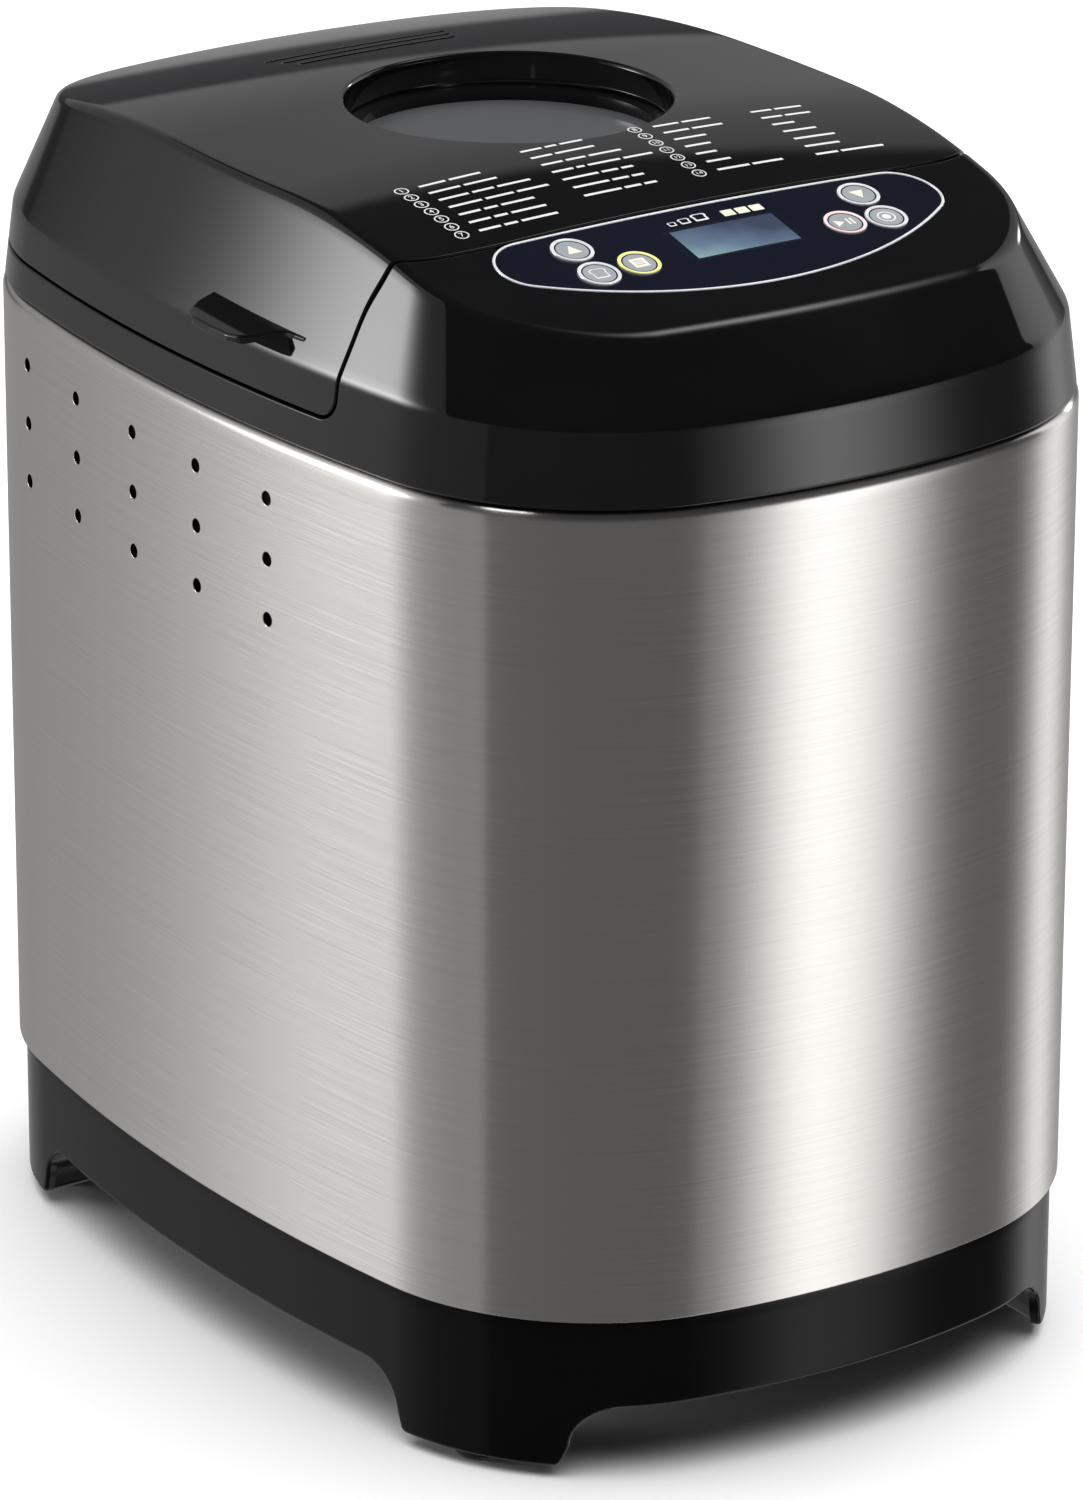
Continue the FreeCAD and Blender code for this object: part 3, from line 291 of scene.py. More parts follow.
def shell(S, thick, radius=0.5, depth=None, steps=4):
    """A closed skin of the given thickness: the surface, rounded edges, edge walls and an inner skin.
    radius and depth may be functions of an edge loop's points."""
    P, N, U, F = S["P"], S["N"], S["U"], S["F"]
    n0 = len(P)
    allP, allN, allU, allF = [P, P - N * thick], [N, -N], [U, U], list(F)
    allF += [tuple(reversed([v + n0 for v in poly])) for poly in F]
    count = 2 * n0
    for loop in open_edges(F, n0):
        p, n, u = P[loop], N[loop], U[loop]
        B = edge_frames(P, N, loop)
        r = radius(p) if callable(radius) else radius
        d = depth(p) if callable(depth) else (depth if depth is not None else thick)
        k = len(loop)
        prev = list(loop)
        for s in range(1, steps + 2):
            if s <= steps:
                th = math.pi / 2 * s / steps
                q = p + B * (r * math.sin(th)) - n * (r * (1 - math.cos(th)))
                m = n * math.cos(th) + B * math.sin(th)
            else:
                q = p + B * r - n * max(d, r + 0.01)
                m = B
            allP.append(q)
            allN.append(m)
            allU.append(u)
            ring = list(range(count, count + k))
            count += k
            for i in range(k):
                j = (i + 1) % k
                allF.append((prev[j], prev[i], ring[i], ring[j]))
            prev = ring
        for i in range(k):
            j = (i + 1) % k
            allF.append((prev[j], prev[i], loop[i] + n0, loop[j] + n0))
    return {"P": np.concatenate(allP), "N": np.concatenate(allN), "U": np.concatenate(allU), "F": allF}


def merge(*surfs):
    P, N, U, F, M, c = [], [], [], [], [], 0
    for s in surfs:
        P.append(s["P"])
        N.append(s["N"])
        U.append(s.get("U", np.zeros((len(s["P"]), 2))))
        F += [tuple(v + c for v in poly) for poly in s["F"]]
        M += s.get("M", [0] * len(s["F"]))
        c += len(s["P"])
    return {"P": np.concatenate(P), "N": np.concatenate(N), "U": np.concatenate(U), "F": F, "M": M}


def face_normals_to_points(P, F):
    N = np.zeros_like(P)
    for poly in F:
        p = P[list(poly)]
        c = np.zeros(3)
        for i in range(1, len(poly) - 1):
            c += np.cross(p[i] - p[0], p[i + 1] - p[0])
        N[list(poly)] += c
    return unit(N)


def revolve(profile, centre, segs=160, frame_axes=None):
    """Closed solid of revolution about an upright axis through centre: profile is a closed loop of (r, z), anticlockwise in (r, z)."""
    prof = np.array(profile, float)
    ang = np.arange(segs) * 2 * math.pi / segs
    G = np.zeros((segs, len(prof), 3))
    G[:, :, 0] = np.cos(ang)[:, None] * prof[None, :, 0]
    G[:, :, 1] = np.sin(ang)[:, None] * prof[None, :, 0]
    G[:, :, 2] = prof[None, :, 1]
    if frame_axes is not None:
        G = G @ np.array(frame_axes)
    G = G + np.array(centre, float)
    return grid_surface(G, True, wrap_t=True)


def round_corners(points, radii, steps=4):
    """Rounds the corners of a closed loop of 2-D points."""
    pts = [np.array(p, float) for p in points]
    k = len(pts)
    out = []
    for i in range(k):
        r = radii[i] if hasattr(radii, "__len__") else radii
        a, b = pts[i - 1] - pts[i], pts[(i + 1) % k] - pts[i]
        la, lb = np.linalg.norm(a), np.linalg.norm(b)
        a, b = a / la, b / lb
        ang = math.acos(max(-1, min(1, float(a @ b))))
        if r <= 0 or ang > math.pi - 0.05:
            out.append(pts[i])
            continue
        t = min(r / math.tan(ang / 2), 0.48 * la, 0.48 * lb)
        rr = t * math.tan(ang / 2)
        c = pts[i] + unit(a + b) * rr / math.sin(ang / 2)
        v0, v1 = pts[i] + a * t - c, pts[i] + b * t - c
        tot = math.acos(max(-1, min(1, float(v0 @ v1) / (rr * rr))))
        for s in range(steps + 1):
            w = s / steps
            v = (v0 * math.sin((1 - w) * tot) + v1 * math.sin(w * tot)) / max(math.sin(tot), 1e-9)
            out.append(c + v)
    return np.array(out)


def extrude_loop(loop, axis_from, axis_to, mapping, bevel=0.5):
    """Closed prism of a 2-D loop between two positions on a third axis, with rounded end edges. mapping(a, b, c) gives a point."""
    loop = np.array(loop, float)
    nxt, prv = np.roll(loop, -1, 0), np.roll(loop, 1, 0)
    t = unit(nxt - prv)
    inward = np.stack([-t[:, 1], t[:, 0]], 1)
    area = 0.5 * np.sum(loop[:, 0] * nxt[:, 1] - nxt[:, 0] * loop[:, 1])
    if area < 0:
        inward = -inward
    rows = []
    steps = 3
    for s in range(steps + 1):
        th = math.pi / 2 * s / steps
        rows.append((loop + inward * bevel * (1 - math.sin(th)), axis_from + bevel * (1 - math.cos(th))))
    for s in range(steps + 1):
        th = math.pi / 2 * s / steps
        rows.append((loop + inward * bevel * (1 - math.cos(th)), axis_to - bevel * (1 - math.sin(th))))
    P = []
    for q, c in rows:
        P.append(np.array([mapping(a, b, c) for a, b in q]))
    k, m = len(loop), len(P)
    V = np.concatenate(P)
    F = []
    for r in range(m - 1):
        for i in range(k):
            j = (i + 1) % k
            F.append((r * k + i, r * k + j, (r + 1) * k + j, (r + 1) * k + i))
    F.append(tuple(reversed(range(k))))
    F.append(tuple((m - 1) * k + i for i in range(k)))
    # make the faces point outwards
    c0 = V.mean(0)
    vol = 0.0
    for poly in F:
        p = V[list(poly)] - c0
        for i in range(1, len(poly) - 1):
            vol += np.dot(p[0], np.cross(p[i], p[i + 1]))
    if vol < 0:
        F = [tuple(reversed(poly)) for poly in F]
    return {"P": V, "N": face_normals_to_points(V, F), "U": np.zeros((len(V), 2)), "F": F, "flat": True}


def build(name, S, mats, body, node=None, custom=True, uv=False, sharp=None):
    me = bpy.data.meshes.new(name)
    me.from_pydata((S["P"] * MM).tolist(), [], S["F"])
    for m in mats:
        me.materials.append(m)
    if "M" in S and len(mats) > 1:
        me.polygons.foreach_set("material_index", S["M"])
    me.polygons.foreach_set("use_smooth", [True] * len(me.polygons))
    if uv:
        layer = me.uv_layers.new(name="run")
        vi = np.zeros(len(me.loops), np.int32)
        me.loops.foreach_get("vertex_index", vi)
        layer.data.foreach_set("uv", (S["U"][vi] * MM).astype(np.float32).ravel())
    me.update()
    if custom:
        me.normals_split_custom_set_from_vertices(S["N"].tolist())
    elif sharp is not None:
        me.set_sharp_from_angle(angle=math.radians(sharp))
    o = bpy.data.objects.new(name, me)
    bpy.context.scene.collection.objects.link(o)
    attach(o, body)
    if node:
        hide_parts(*([node] if isinstance(node, str) else node))
    return o


# ---------------------------------------------------------------- materials
def new_material(name):
    m = bpy.data.materials.new(name)
    m.use_nodes = True
    nt = m.node_tree
    bsdf = next(n for n in nt.nodes if n.type == "BSDF_PRINCIPLED")
    return m, nt, bsdf


def node(nt, kind, **props):
    n = nt.nodes.new(kind)
    for k, v in props.items():
        setattr(n, k, v)
    return n


def ramp(nt, fac, stops):
    r = node(nt, "ShaderNodeValToRGB")
    e = r.color_ramp.elements
    while len(e) < len(stops):
        e.new(0.5)
    for i, (pos, col) in enumerate(stops):
        e[i].position = pos
        e[i].color = (*col, 1.0) if len(col) == 3 else col
    nt.links.new(fac, r.inputs["Fac"])
    return r.outputs["Color"]


def to_range(nt, fac, lo, hi, a=0.0, b=1.0):
    r = node(nt, "ShaderNodeMapRange")
    r.inputs["From Min"].default_value = a
    r.inputs["From Max"].default_value = b
    r.inputs["To Min"].default_value = lo
    r.inputs["To Max"].default_value = hi
    nt.links.new(fac, r.inputs["Value"])
    return r.outputs["Result"]


def noise(nt, scale, detail=4.0, rough=0.55, stretch=None, coord="Object", uv=None):
    if uv:
        c = node(nt, "ShaderNodeUVMap", uv_map=uv).outputs["UV"]
    else:
        c = node(nt, "ShaderNodeTexCoord").outputs[coord]
    if stretch is not None:
        mp = node(nt, "ShaderNodeMapping")
        mp.inputs["Scale"].default_value = stretch
        nt.links.new(c, mp.inputs["Vector"])
        c = mp.outputs["Vector"]
    n = node(nt, "ShaderNodeTexNoise")
    n.inputs["Scale"].default_value = scale
    n.inputs["Detail"].default_value = detail
    n.inputs["Roughness"].default_value = rough
    nt.links.new(c, n.inputs["Vector"])
    return n.outputs["Fac"]


def bump(nt, bsdf, height, strength, distance):
    b = node(nt, "ShaderNodeBump")
    b.inputs["Strength"].default_value = strength
    b.inputs["Distance"].default_value = distance
    nt.links.new(height, b.inputs["Height"])
    nt.links.new(b.outputs["Normal"], bsdf.inputs["Normal"])


def plastic(name, dark, light, rough, spec=0.5, grain=900.0, grain_strength=0.02, coat=0.0, vary=3.0):
    m, nt, b = new_material(name)
    blotch = noise(nt, vary * 6, 3.0)
    nt.links.new(ramp(nt, blotch, [(0.3, dark), (0.75, light)]), b.inputs["Base Color"])
    smear = noise(nt, vary * 14, 5.0, 0.65)
    nt.links.new(to_range(nt, smear, rough[0], rough[1], 0.3, 0.72), b.inputs["Roughness"])
    b.inputs["Specular IOR Level"].default_value = spec
    if coat:
        b.inputs["Coat Weight"].default_value = coat
        b.inputs["Coat Roughness"].default_value = 0.03
    bump(nt, b, noise(nt, grain, 2.0), grain_strength, 0.00004)
    return m


def metal(name, dark, light, rough, scale=60.0, stretch=(1, 1, 1), bump_strength=0.05, aniso=0.0, bump_scale=None):
    m, nt, b = new_material(name)
    f = noise(nt, scale, 5.0, 0.6, stretch)
    nt.links.new(ramp(nt, f, [(0.25, dark), (0.78, light)]), b.inputs["Base Color"])
    nt.links.new(to_range(nt, noise(nt, scale * 1.7, 4.0, 0.6, stretch), rough[0], rough[1], 0.3, 0.7), b.inputs["Roughness"])
    b.inputs["Metallic"].default_value = 1.0
    b.inputs["Anisotropic"].default_value = aniso
    bump(nt, b, noise(nt, bump_scale or scale * 8, 3.0, 0.6, stretch), bump_strength, 0.0001)
    return m


STEEL_ROT = 0.25


def brushed_wrap(name):
    # stainless sheet with fine lines running round the body
    m, nt, b = new_material(name)
    fine = noise(nt, 1.0, 3.0, 0.62, (9.0, 5200.0, 1.0), uv="run")
    mid = noise(nt, 1.0, 4.0, 0.6, (22.0, 1500.0, 1.0), uv="run")
    cloud = noise(nt, 1.0, 3.0, 0.5, (5.0, 9.0, 1.0), uv="run")
    mix = node(nt, "ShaderNodeMath", operation="ADD")
    nt.links.new(fine, mix.inputs[0])
    nt.links.new(mid, mix.inputs[1])
    half = node(nt, "ShaderNodeMath", operation="MULTIPLY")
    half.inputs[1].default_value = 0.5
    nt.links.new(mix.outputs[0], half.inputs[0])
    lines = half.outputs[0]
    nt.links.new(ramp(nt, lines, [(0.3, (0.60, 0.58, 0.555)), (0.52, (0.655, 0.635, 0.61)), (0.72, (0.70, 0.68, 0.655))]), b.inputs["Base Color"])
    add = node(nt, "ShaderNodeMath", operation="MULTIPLY_ADD")
    nt.links.new(cloud, add.inputs[0])
    add.inputs[1].default_value = 0.35
    nt.links.new(lines, add.inputs[2])
    nt.links.new(to_range(nt, add.outputs[0], 0.19, 0.235, 0.45, 0.9), b.inputs["Roughness"])
    b.inputs["Metallic"].default_value = 1.0
    b.inputs["Anisotropic"].default_value = 1.0
    b.inputs["Anisotropic Rotation"].default_value = STEEL_ROT
    tan = node(nt, "ShaderNodeTangent", direction_type="UV_MAP", uv_map="run")
    nt.links.new(tan.outputs["Tangent"], b.inputs["Tangent"])
    bump(nt, b, lines, 0.05, 0.00002)
    return m




def glass_material(name):
    m, nt, b = new_material(name)
    nt.links.new(ramp(nt, noise(nt, 18.0, 3.0), [(0.3, (0.105, 0.107, 0.113)), (0.7, (0.12, 0.122, 0.128))]), b.inputs["Base Color"])
    b.inputs["Transmission Weight"].default_value = 0.35
    b.inputs["IOR"].default_value = 1.48
    nt.links.new(to_range(nt, noise(nt, 40.0, 4.0), 0.02, 0.06, 0.3, 0.7), b.inputs["Roughness"])
    return m


MATS = {}
MATS["gloss_black"] = plastic("gloss_black", (0.0018, 0.0018, 0.0021), (0.0032, 0.0032, 0.0036), (0.03, 0.065), 0.5, 700.0, 0.006)
MATS["satin_black"] = plastic("satin_black", (0.0010, 0.0010, 0.0012), (0.0022, 0.0022, 0.0025), (0.09, 0.15), 0.16, 1600.0, 0.05)
MATS["stainless"] = brushed_wrap("stainless")
MATS["rubber_black"] = plastic("rubber_black", (0.012, 0.012, 0.012), (0.022, 0.022, 0.022), (0.6, 0.8), 0.35, 2600.0, 0.25)
MATS["window"] = glass_material("window")
MATS["trim_silver"] = metal("trim_silver", (0.66, 0.67, 0.69), (0.80, 0.81, 0.83), (0.16, 0.28), 300.0, (1, 1, 1), 0.02)
next(n for n in MATS["trim_silver"].node_tree.nodes if n.type == "BSDF_PRINCIPLED").inputs["Metallic"].default_value = 0.35
MATS["panel_navy"] = plastic("panel_navy", (0.0026, 0.0036, 0.0085), (0.0045, 0.006, 0.0125), (0.04, 0.08), 0.5, 900.0, 0.004)
MATS["button_grey"] = plastic("button_grey", (0.20, 0.22, 0.235), (0.30, 0.32, 0.335), (0.12, 0.2), 0.5, 1200.0, 0.02, 0.6)
MATS["pcb_green"] = plastic("pcb_green", (0.012, 0.07, 0.03), (0.03, 0.13, 0.06), (0.3, 0.45), 0.5, 800.0, 0.05)
MATS["component_black"] = plastic("component_black", (0.012, 0.012, 0.014), (0.03, 0.03, 0.034), (0.35, 0.55), 0.45, 1500.0, 0.12)
MATS["zinc_steel"] = metal("zinc_steel", (0.42, 0.43, 0.44), (0.66, 0.67, 0.68), (0.28, 0.46), 90.0, (1, 1, 1), 0.06)
MATS["oven_steel"] = metal("oven_steel", (0.33, 0.33, 0.325), (0.52, 0.515, 0.505), (0.3, 0.5), 45.0, (1, 1, 5), 0.05)
MATS["liner_alu"] = metal("liner_alu", (0.58, 0.58, 0.58), (0.78, 0.78, 0.78), (0.25, 0.42), 70.0, (1, 5, 1), 0.05)
MATS["silicone"] = plastic("silicone", (0.20, 0.20, 0.205), (0.30, 0.30, 0.305), (0.45, 0.6), 0.4, 1500.0, 0.1)
MATS["bright_steel"] = metal("bright_steel", (0.55, 0.55, 0.56), (0.76, 0.76, 0.77), (0.16, 0.3), 160.0, (1, 1, 1), 0.04)
MATS["heater_black"] = metal("heater_black", (0.05, 0.043, 0.04), (0.13, 0.11, 0.10), (0.42, 0.65), 120.0, (1, 1, 1), 0.15)
MATS["ceramic"] = plastic("ceramic", (0.62, 0.60, 0.54), (0.78, 0.76, 0.70), (0.6, 0.8), 0.4, 1800.0, 0.15)
MATS["nonstick"] = plastic("nonstick", (0.028, 0.028, 0.031), (0.05, 0.05, 0.054), (0.3, 0.42), 0.5, 2200.0, 0.25)
MATS["bronze"] = metal("bronze", (0.36, 0.22, 0.10), (0.56, 0.38, 0.20), (0.3, 0.45), 200.0, (1, 1, 1), 0.1)
MATS["belt_rubber"] = plastic("belt_rubber", (0.01, 0.01, 0.01), (0.02, 0.02, 0.02), (0.6, 0.8), 0.3, 2400.0, 0.2)
MATS["pulley_white"] = plastic("pulley_white", (0.58, 0.58, 0.55), (0.72, 0.72, 0.69), (0.35, 0.5), 0.45, 1200.0, 0.05)
MATS["laminations"] = metal("laminations", (0.10, 0.10, 0.105), (0.28, 0.28, 0.29), (0.35, 0.55), 40.0, (1, 1, 60), 0.2)
MATS["cast_alu"] = metal("cast_alu", (0.40, 0.40, 0.41), (0.60, 0.60, 0.61), (0.4, 0.6), 220.0, (1, 1, 1), 0.25)


def display_material():
    m, nt, b = new_material("display")
    co = node(nt, "ShaderNodeTexCoord").outputs["Object"]
    sep = node(nt, "ShaderNodeSeparateXYZ")
    nt.links.new(co, sep.inputs[0])
    # painted reflection: a sheen is painted into the display's colour, light teal towards its front left edge and
    # fading to dark navy towards the back right, with a small random wobble
    sheen_slant = node(nt, "ShaderNodeMath", operation="MULTIPLY_ADD")
    nt.links.new(sep.outputs["X"], sheen_slant.inputs[0])
    sheen_slant.inputs[1].default_value = 0.42
    nt.links.new(sep.outputs["Y"], sheen_slant.inputs[2])
    g = to_range(nt, sheen_slant.outputs[0], 0.0, 1.0, -0.1075, -0.0835)
    wob = noise(nt, 120.0, 3.0)
    add = node(nt, "ShaderNodeMath", operation="MULTIPLY_ADD")
    nt.links.new(wob, add.inputs[0])
    add.inputs[1].default_value = 0.35
    nt.links.new(g, add.inputs[2])
    nt.links.new(ramp(nt, add.outputs[0], [(0.2, (0.155, 0.245, 0.275)), (0.5, (0.085, 0.13, 0.185)), (0.75, (0.062, 0.085, 0.14)), (1.0, (0.03, 0.04, 0.07))]), b.inputs["Base Color"])
    nt.links.new(to_range(nt, noise(nt, 700.0, 2.0), 0.1, 0.2, 0.3, 0.7), b.inputs["Roughness"])
    b.inputs["Coat Weight"].default_value = 0.5
    return m


MATS["display"] = display_material()


def ink(name, dark, light, rough=(0.3, 0.5)):
    return plastic(name, dark, light, rough, 0.4, 2500.0, 0.05)


MATS["ink_white"] = ink("ink_white", (0.48, 0.48, 0.48), (0.60, 0.60, 0.595))
MATS["ink_cream"] = ink("ink_cream", (0.52, 0.50, 0.42), (0.64, 0.62, 0.54))
MATS["ring_yellow"] = ink("ring_yellow", (0.60, 0.57, 0.16), (0.74, 0.71, 0.30), (0.15, 0.25))
MATS["ring_red"] = ink("ring_red", (0.62, 0.40, 0.42), (0.78, 0.62, 0.62), (0.15, 0.25))

# ---------------------------------------------------------------- master form of the black upper housing
LIP = 1.2           # rounding of the window's rim
EDGE = 0.55         # rounding of the seam edges
RIDGE_SIDE, RIDGE_FRONT = 3.4, 9.0
CREASE_L = 1.5
COUNTS = [110, 64, 120, 64, 110, 64, 90, 64]
KS, US = stations(COUNTS)
NS = len(KS)


def top_profile(y):
    z1 = PANEL_Z + math.tan(TILT) * (TOP_Y1 - PANEL_Y)
    r1 = (TOP_Y2 - TOP_Y1) / math.sin(TILT)
    zl = z1 + r1 * (1 - math.cos(TILT))
    a = z1 + math.tan(TILT) * (y - TOP_Y1)
    b = zl - (r1 - np.sqrt(np.maximum(r1 * r1 - (TOP_Y2 - y) ** 2, 0)))
    c = zl - (TOP_RR - np.sqrt(np.maximum(TOP_RR ** 2 - (y - TOP_Y3) ** 2, 0)))
    return np.where(y < TOP_Y1, a, np.where(y < TOP_Y2, b, np.where(y < TOP_Y3, zl, c)))


def top_height(x, y):
    x, y = np.asarray(x, float), np.asarray(y, float)
    rise = LID_CROWN * ease((y + 70.0) / 58.0) * (1 - ease((y - 40.0) / 90.0)) * (1 - (x / 95.0) ** 2)
    return top_profile(y) - 0.5 * CROWN_K * x * x + rise


def flank(z):
    lo, _ = on_arcs(S_ARCS, KS, US, INSET_CREASE)
    hi, n = on_arcs(T_ARCS, KS, US, 0.0)
    w = ((z - Z_CREASE) / (Z_TOPSEC - Z_CREASE))[:, None]
    rule = lo + (hi - lo) * w
    t = np.maximum(z - Z_TOPSEC, 0.0) * (INSET_TOPSEC - INSET_CREASE) / (Z_TOPSEC - Z_CREASE)
    cap = hi - n * t[:, None]
    return np.where(z[:, None] > Z_TOPSEC, cap, rule)


def master_grid():
    z = np.full(NS, 290.0)
    lo, hi = np.full(NS, 288.0), np.full(NS, 336.0)
    for _ in range(50):
        z = 0.5 * (lo + hi)
        p = flank(z)
        above = top_height(p[:, 0], p[:, 1]) - z > 0
        lo, hi = np.where(above, z, lo), np.where(above, hi, z)
    Q = with_z(flank(z), z)
    a = unit(with_z(flank(z - 1.5), z - 1.5) - Q)
    _, n_top = on_arcs(T_ARCS, KS, US, 0.0)
    e = 0.5
    inn = Q[:, :2] - n_top * e
    b = unit(with_z(inn, top_height(inn[:, 0], inn[:, 1])) - Q)
    phi = np.arccos(np.clip((a * b).sum(1), -1, 1))
    ridge = RIDGE_SIDE + (RIDGE_FRONT - RIDGE_SIDE) * ease((-n_top[:, 1] - 0.45) / 0.5)
    L = ridge / np.tan(phi / 2)
    c = Q + unit(a + b) * (ridge / np.sin(phi / 2))[:, None]
    v0, v1 = Q + a * L[:, None] - c, Q + b * L[:, None] - c
    tot = np.arccos(np.clip((v0 * v1).sum(1) / ridge ** 2, -1, 1))
    rows = []
    slope = (INSET_CREASE - INSET_RIM) / (Z_CREASE - Z_RIM0)
    for zb in (267.3, 268.4, 270, 272, 273.4, 274.5, 275.2, 275.7, 276.4, 277.0, 278, 279.5, 281.2, 283.4, Z_CREASE - CREASE_L):
        xy, _ = on_arcs(S_ARCS, KS, US, INSET_RIM + slope * (zb - Z_RIM0))
        rows.append(with_z(xy, zb))
    p0 = rows[-1]
    xy, _ = on_arcs(S_ARCS, KS, US, INSET_CREASE)
    p1 = with_z(xy, Z_CREASE)
    zc = np.full(NS, Z_CREASE + CREASE_L)
    p2 = with_z(flank(zc), zc)
    for i in range(1, 9):
        t = i / 8
        rows.append(p0 * (1 - t) ** 2 + p1 * 2 * t * (1 - t) + p2 * t * t)
    tang = c + v0
    for i in range(1, 15):
        rows.append(p2 + (tang - p2) * (i / 14))
    for i in range(1, 17):
        w = i / 16
        rows.append(c + (v0 * np.sin((1 - w) * tot)[:, None] + v1 * np.sin(w * tot)[:, None]) / np.sin(tot)[:, None])
    E = rows[-1]
    ang = np.arctan2(E[:, 1] - WINDOW_Y, E[:, 0])
    C = np.stack([(WINDOW_R + LIP) * np.cos(ang), WINDOW_Y + (WINDOW_R + LIP) * np.sin(ang)], 1)
    ws = np.concatenate([np.linspace(0, 0.5, 26)[1:], np.linspace(0.5, 0.79, 50)[1:], np.linspace(0.79, 1.0, 13)[1:]])
    ez = E[:, 2] - top_height(E[:, 0], E[:, 1])
    for w in ws:
        q = E[:, :2] * (1 - w) + C * w
        rows.append(with_z(q, top_height(q[:, 0], q[:, 1]) + ez * (1 - ease(np.array(w * 8)))))
    return np.stack(rows, 1)


MASTER = master_grid()

SEAM = np.array([(0, -76.2), (35, -76.2), (70, -76.0), (80, -75.0), (86, -73.3), (91, -70.8), (95, -68.6), (100, -68.0), (120, -68.0), (170, -68.0)], float)


def seam_y(x):
    x = np.abs(x)
    X, Y = SEAM[:, 0], SEAM[:, 1]
    d = np.diff(Y) / np.diff(X)
    m = np.zeros(len(X))
    m[1:-1] = (d[:-1] * np.diff(X)[1:] + d[1:] * np.diff(X)[:-1]) / (np.diff(X)[1:] + np.diff(X)[:-1])
    i = np.clip(np.searchsorted(X, x) - 1, 0, len(X) - 2)
    h = X[i + 1] - X[i]
    t = (x - X[i]) / h
    return ((2 * t ** 3 - 3 * t ** 2 + 1) * Y[i] + (t ** 3 - 2 * t ** 2 + t) * h * m[i] + (-2 * t ** 3 + 3 * t ** 2) * Y[i + 1] + (t ** 3 - t ** 2) * h * m[i + 1])


def seam_plan(P):
    x, y = P[:, 0], P[:, 1]
    s = (seam_y(np.abs(x) + 0.05) - seam_y(np.maximum(np.abs(x) - 0.05, 0))) / 0.1
    return (y - seam_y(x)) / np.sqrt(1 + s * s)


def seam_side(P):
    qy, qz = P[:, 1] - (SEAM_Y_SIDE + 6.0), P[:, 2] - (Z_LID + 6.0)
    out = np.hypot(np.minimum(qy, 0), np.minimum(qz, 0))
    d = np.where((qy > 0) & (qz > 0), 6.0 + np.minimum(qy, qz), 6.0 - out)
    return np.where(P[:, 2] >= Z_LID + 6.0, 1e3, d)


def slot_distance(P):
    d = np.full(len(P), 1e3)
    for i, y in enumerate((74.0, 79.6, 85.2)):
        h = 25.0 + 2.0 * i
        d = np.minimum(d, np.hypot(np.maximum(np.abs(P[:, 0]) - (h - 1.1), 0), P[:, 1] - y) - 1.1)
    return np.where(P[:, 2] > 300, d, 1e3)


def ear_room(P):
    return np.maximum(np.abs(np.abs(P[:, 0]) - 42.0) - 9.0, np.hypot(P[:, 1] - HINGE_Y, P[:, 2] - HINGE_Z) - (HINGE_R + 0.8))


# ---------------------------------------------------------------- lid
G = MASTER.copy()
G[:, :, 1] = smooth_min(G[:, :, 1], LID_BACK, 1.6)
S = grid_surface(G)
P = S["P"]
rear = 2.6 * ease((P[:, 1] - 133.0) / 1.5)
side = np.where(P[:, 1] > 0, P[:, 2] - Z_LID - rear, seam_side(P))
f = np.minimum(seam_plan(P), side) - EDGE
f = np.minimum(f, slot_distance(P) - 0.45)
f = np.minimum(f, ear_room(P) - EDGE)
lid_s = clip(S, f)


def lid_radius(p):
    if p[:, 2].min() > 300 and np.hypot(p[:, 0], p[:, 1] - WINDOW_Y).max() < 46:
        return LIP
    if p[:, 2].min() > 300 and p[:, 1].min() > 60:
        return 0.45
    return EDGE


def lid_depth(p):
    if p[:, 2].min() > 300 and np.hypot(p[:, 0], p[:, 1] - WINDOW_Y).max() < 46:
        return 7.6
    return 2.6


lid_parts = [shell(lid_s, 2.6, lid_radius, lid_depth, 5)]
# the well below the rim, with the seat of the glass
well = round_corners([(43.1, 318.9), (43.1, 312.75), (43.65, 312.7), (43.65, 309.35), (37.0, 309.35), (37.0, 307.4), (45.9, 307.4), (45.9, 318.9)][::-1],
                     [0.4, 0.4, 0.3, 0.3, 0.05, 0.05, 0.05, 0.3], 3)
lid_parts.append(revolve(well, (0, WINDOW_Y, 0), 192))


def x_prism(loop, x0, x1, bevel=0.4):
    return extrude_loop(loop, x0, x1, lambda a, b, c: (c, a, b), bevel)


def barrel_loop(top):
    c = [(HINGE_Y + HINGE_R * math.cos(a), HINGE_Z + HINGE_R * math.sin(a)) for a in np.linspace(math.radians(-215), math.radians(30), 36)]
    return np.array([(134.9, top)] + c + [(141.3, HINGE_Z + 4.6), (141.3, top)])


for sx in (1, -1):
    x0, x1 = (38.0, 46.0) if sx > 0 else (-46.0, -38.0)
    lid_parts.append(x_prism(barrel_loop(292.0), x0, x1))


# finger tab on each flank: a thin shelf with a rounded front and a fin running out of it
def tab_solid(sx):
    outline = np.array([(-98.0, -8.2), (-103.0, -8.6), (-109.2, -9.8), (-113.2, -12.4), (-115.3, -17.4), (-115.72, -26.0), (-115.6, -34.0), (-114.3, -38.6),
                        (-111.2, -41.1), (-106.6, -42.6), (-104.2, -44.2), (-103.3, -47.5), (-102.6, -51.6), (-98.0, -51.6)])
    outline = round_corners(outline, [0, 2, 4, 4, 5, 8, 6, 4, 3, 3, 2, 4, 1.0, 0], 5)

    def mapping(a, b, c):
        drop = 0.35 * ease(np.array((-a - 103.0) / 12.0)) * 2.2
        fin = 0.7 * ease(np.array((-b - 40.0) / 11.0))
        thick = 1.0 - 0.45 * ease(np.array((-b - 39.0) / 6.0))
        z = 295.0 + 0.2 * (a + 103.5) - float(drop) * 0.4 - float(fin) + (c + 2.4) * float(thick) - 2.4
        return (sx * -a, b, z)
    return extrude_loop(outline, -2.4, 0.0, mapping, 0.7)


for sx in (-1, 1):
    lid_parts.append(tab_solid(sx))
lid_all = merge(*lid_parts)
lid = build("lid_shell_skin", lid_all, [MATS["gloss_black"]], "lid", "lid_shell")

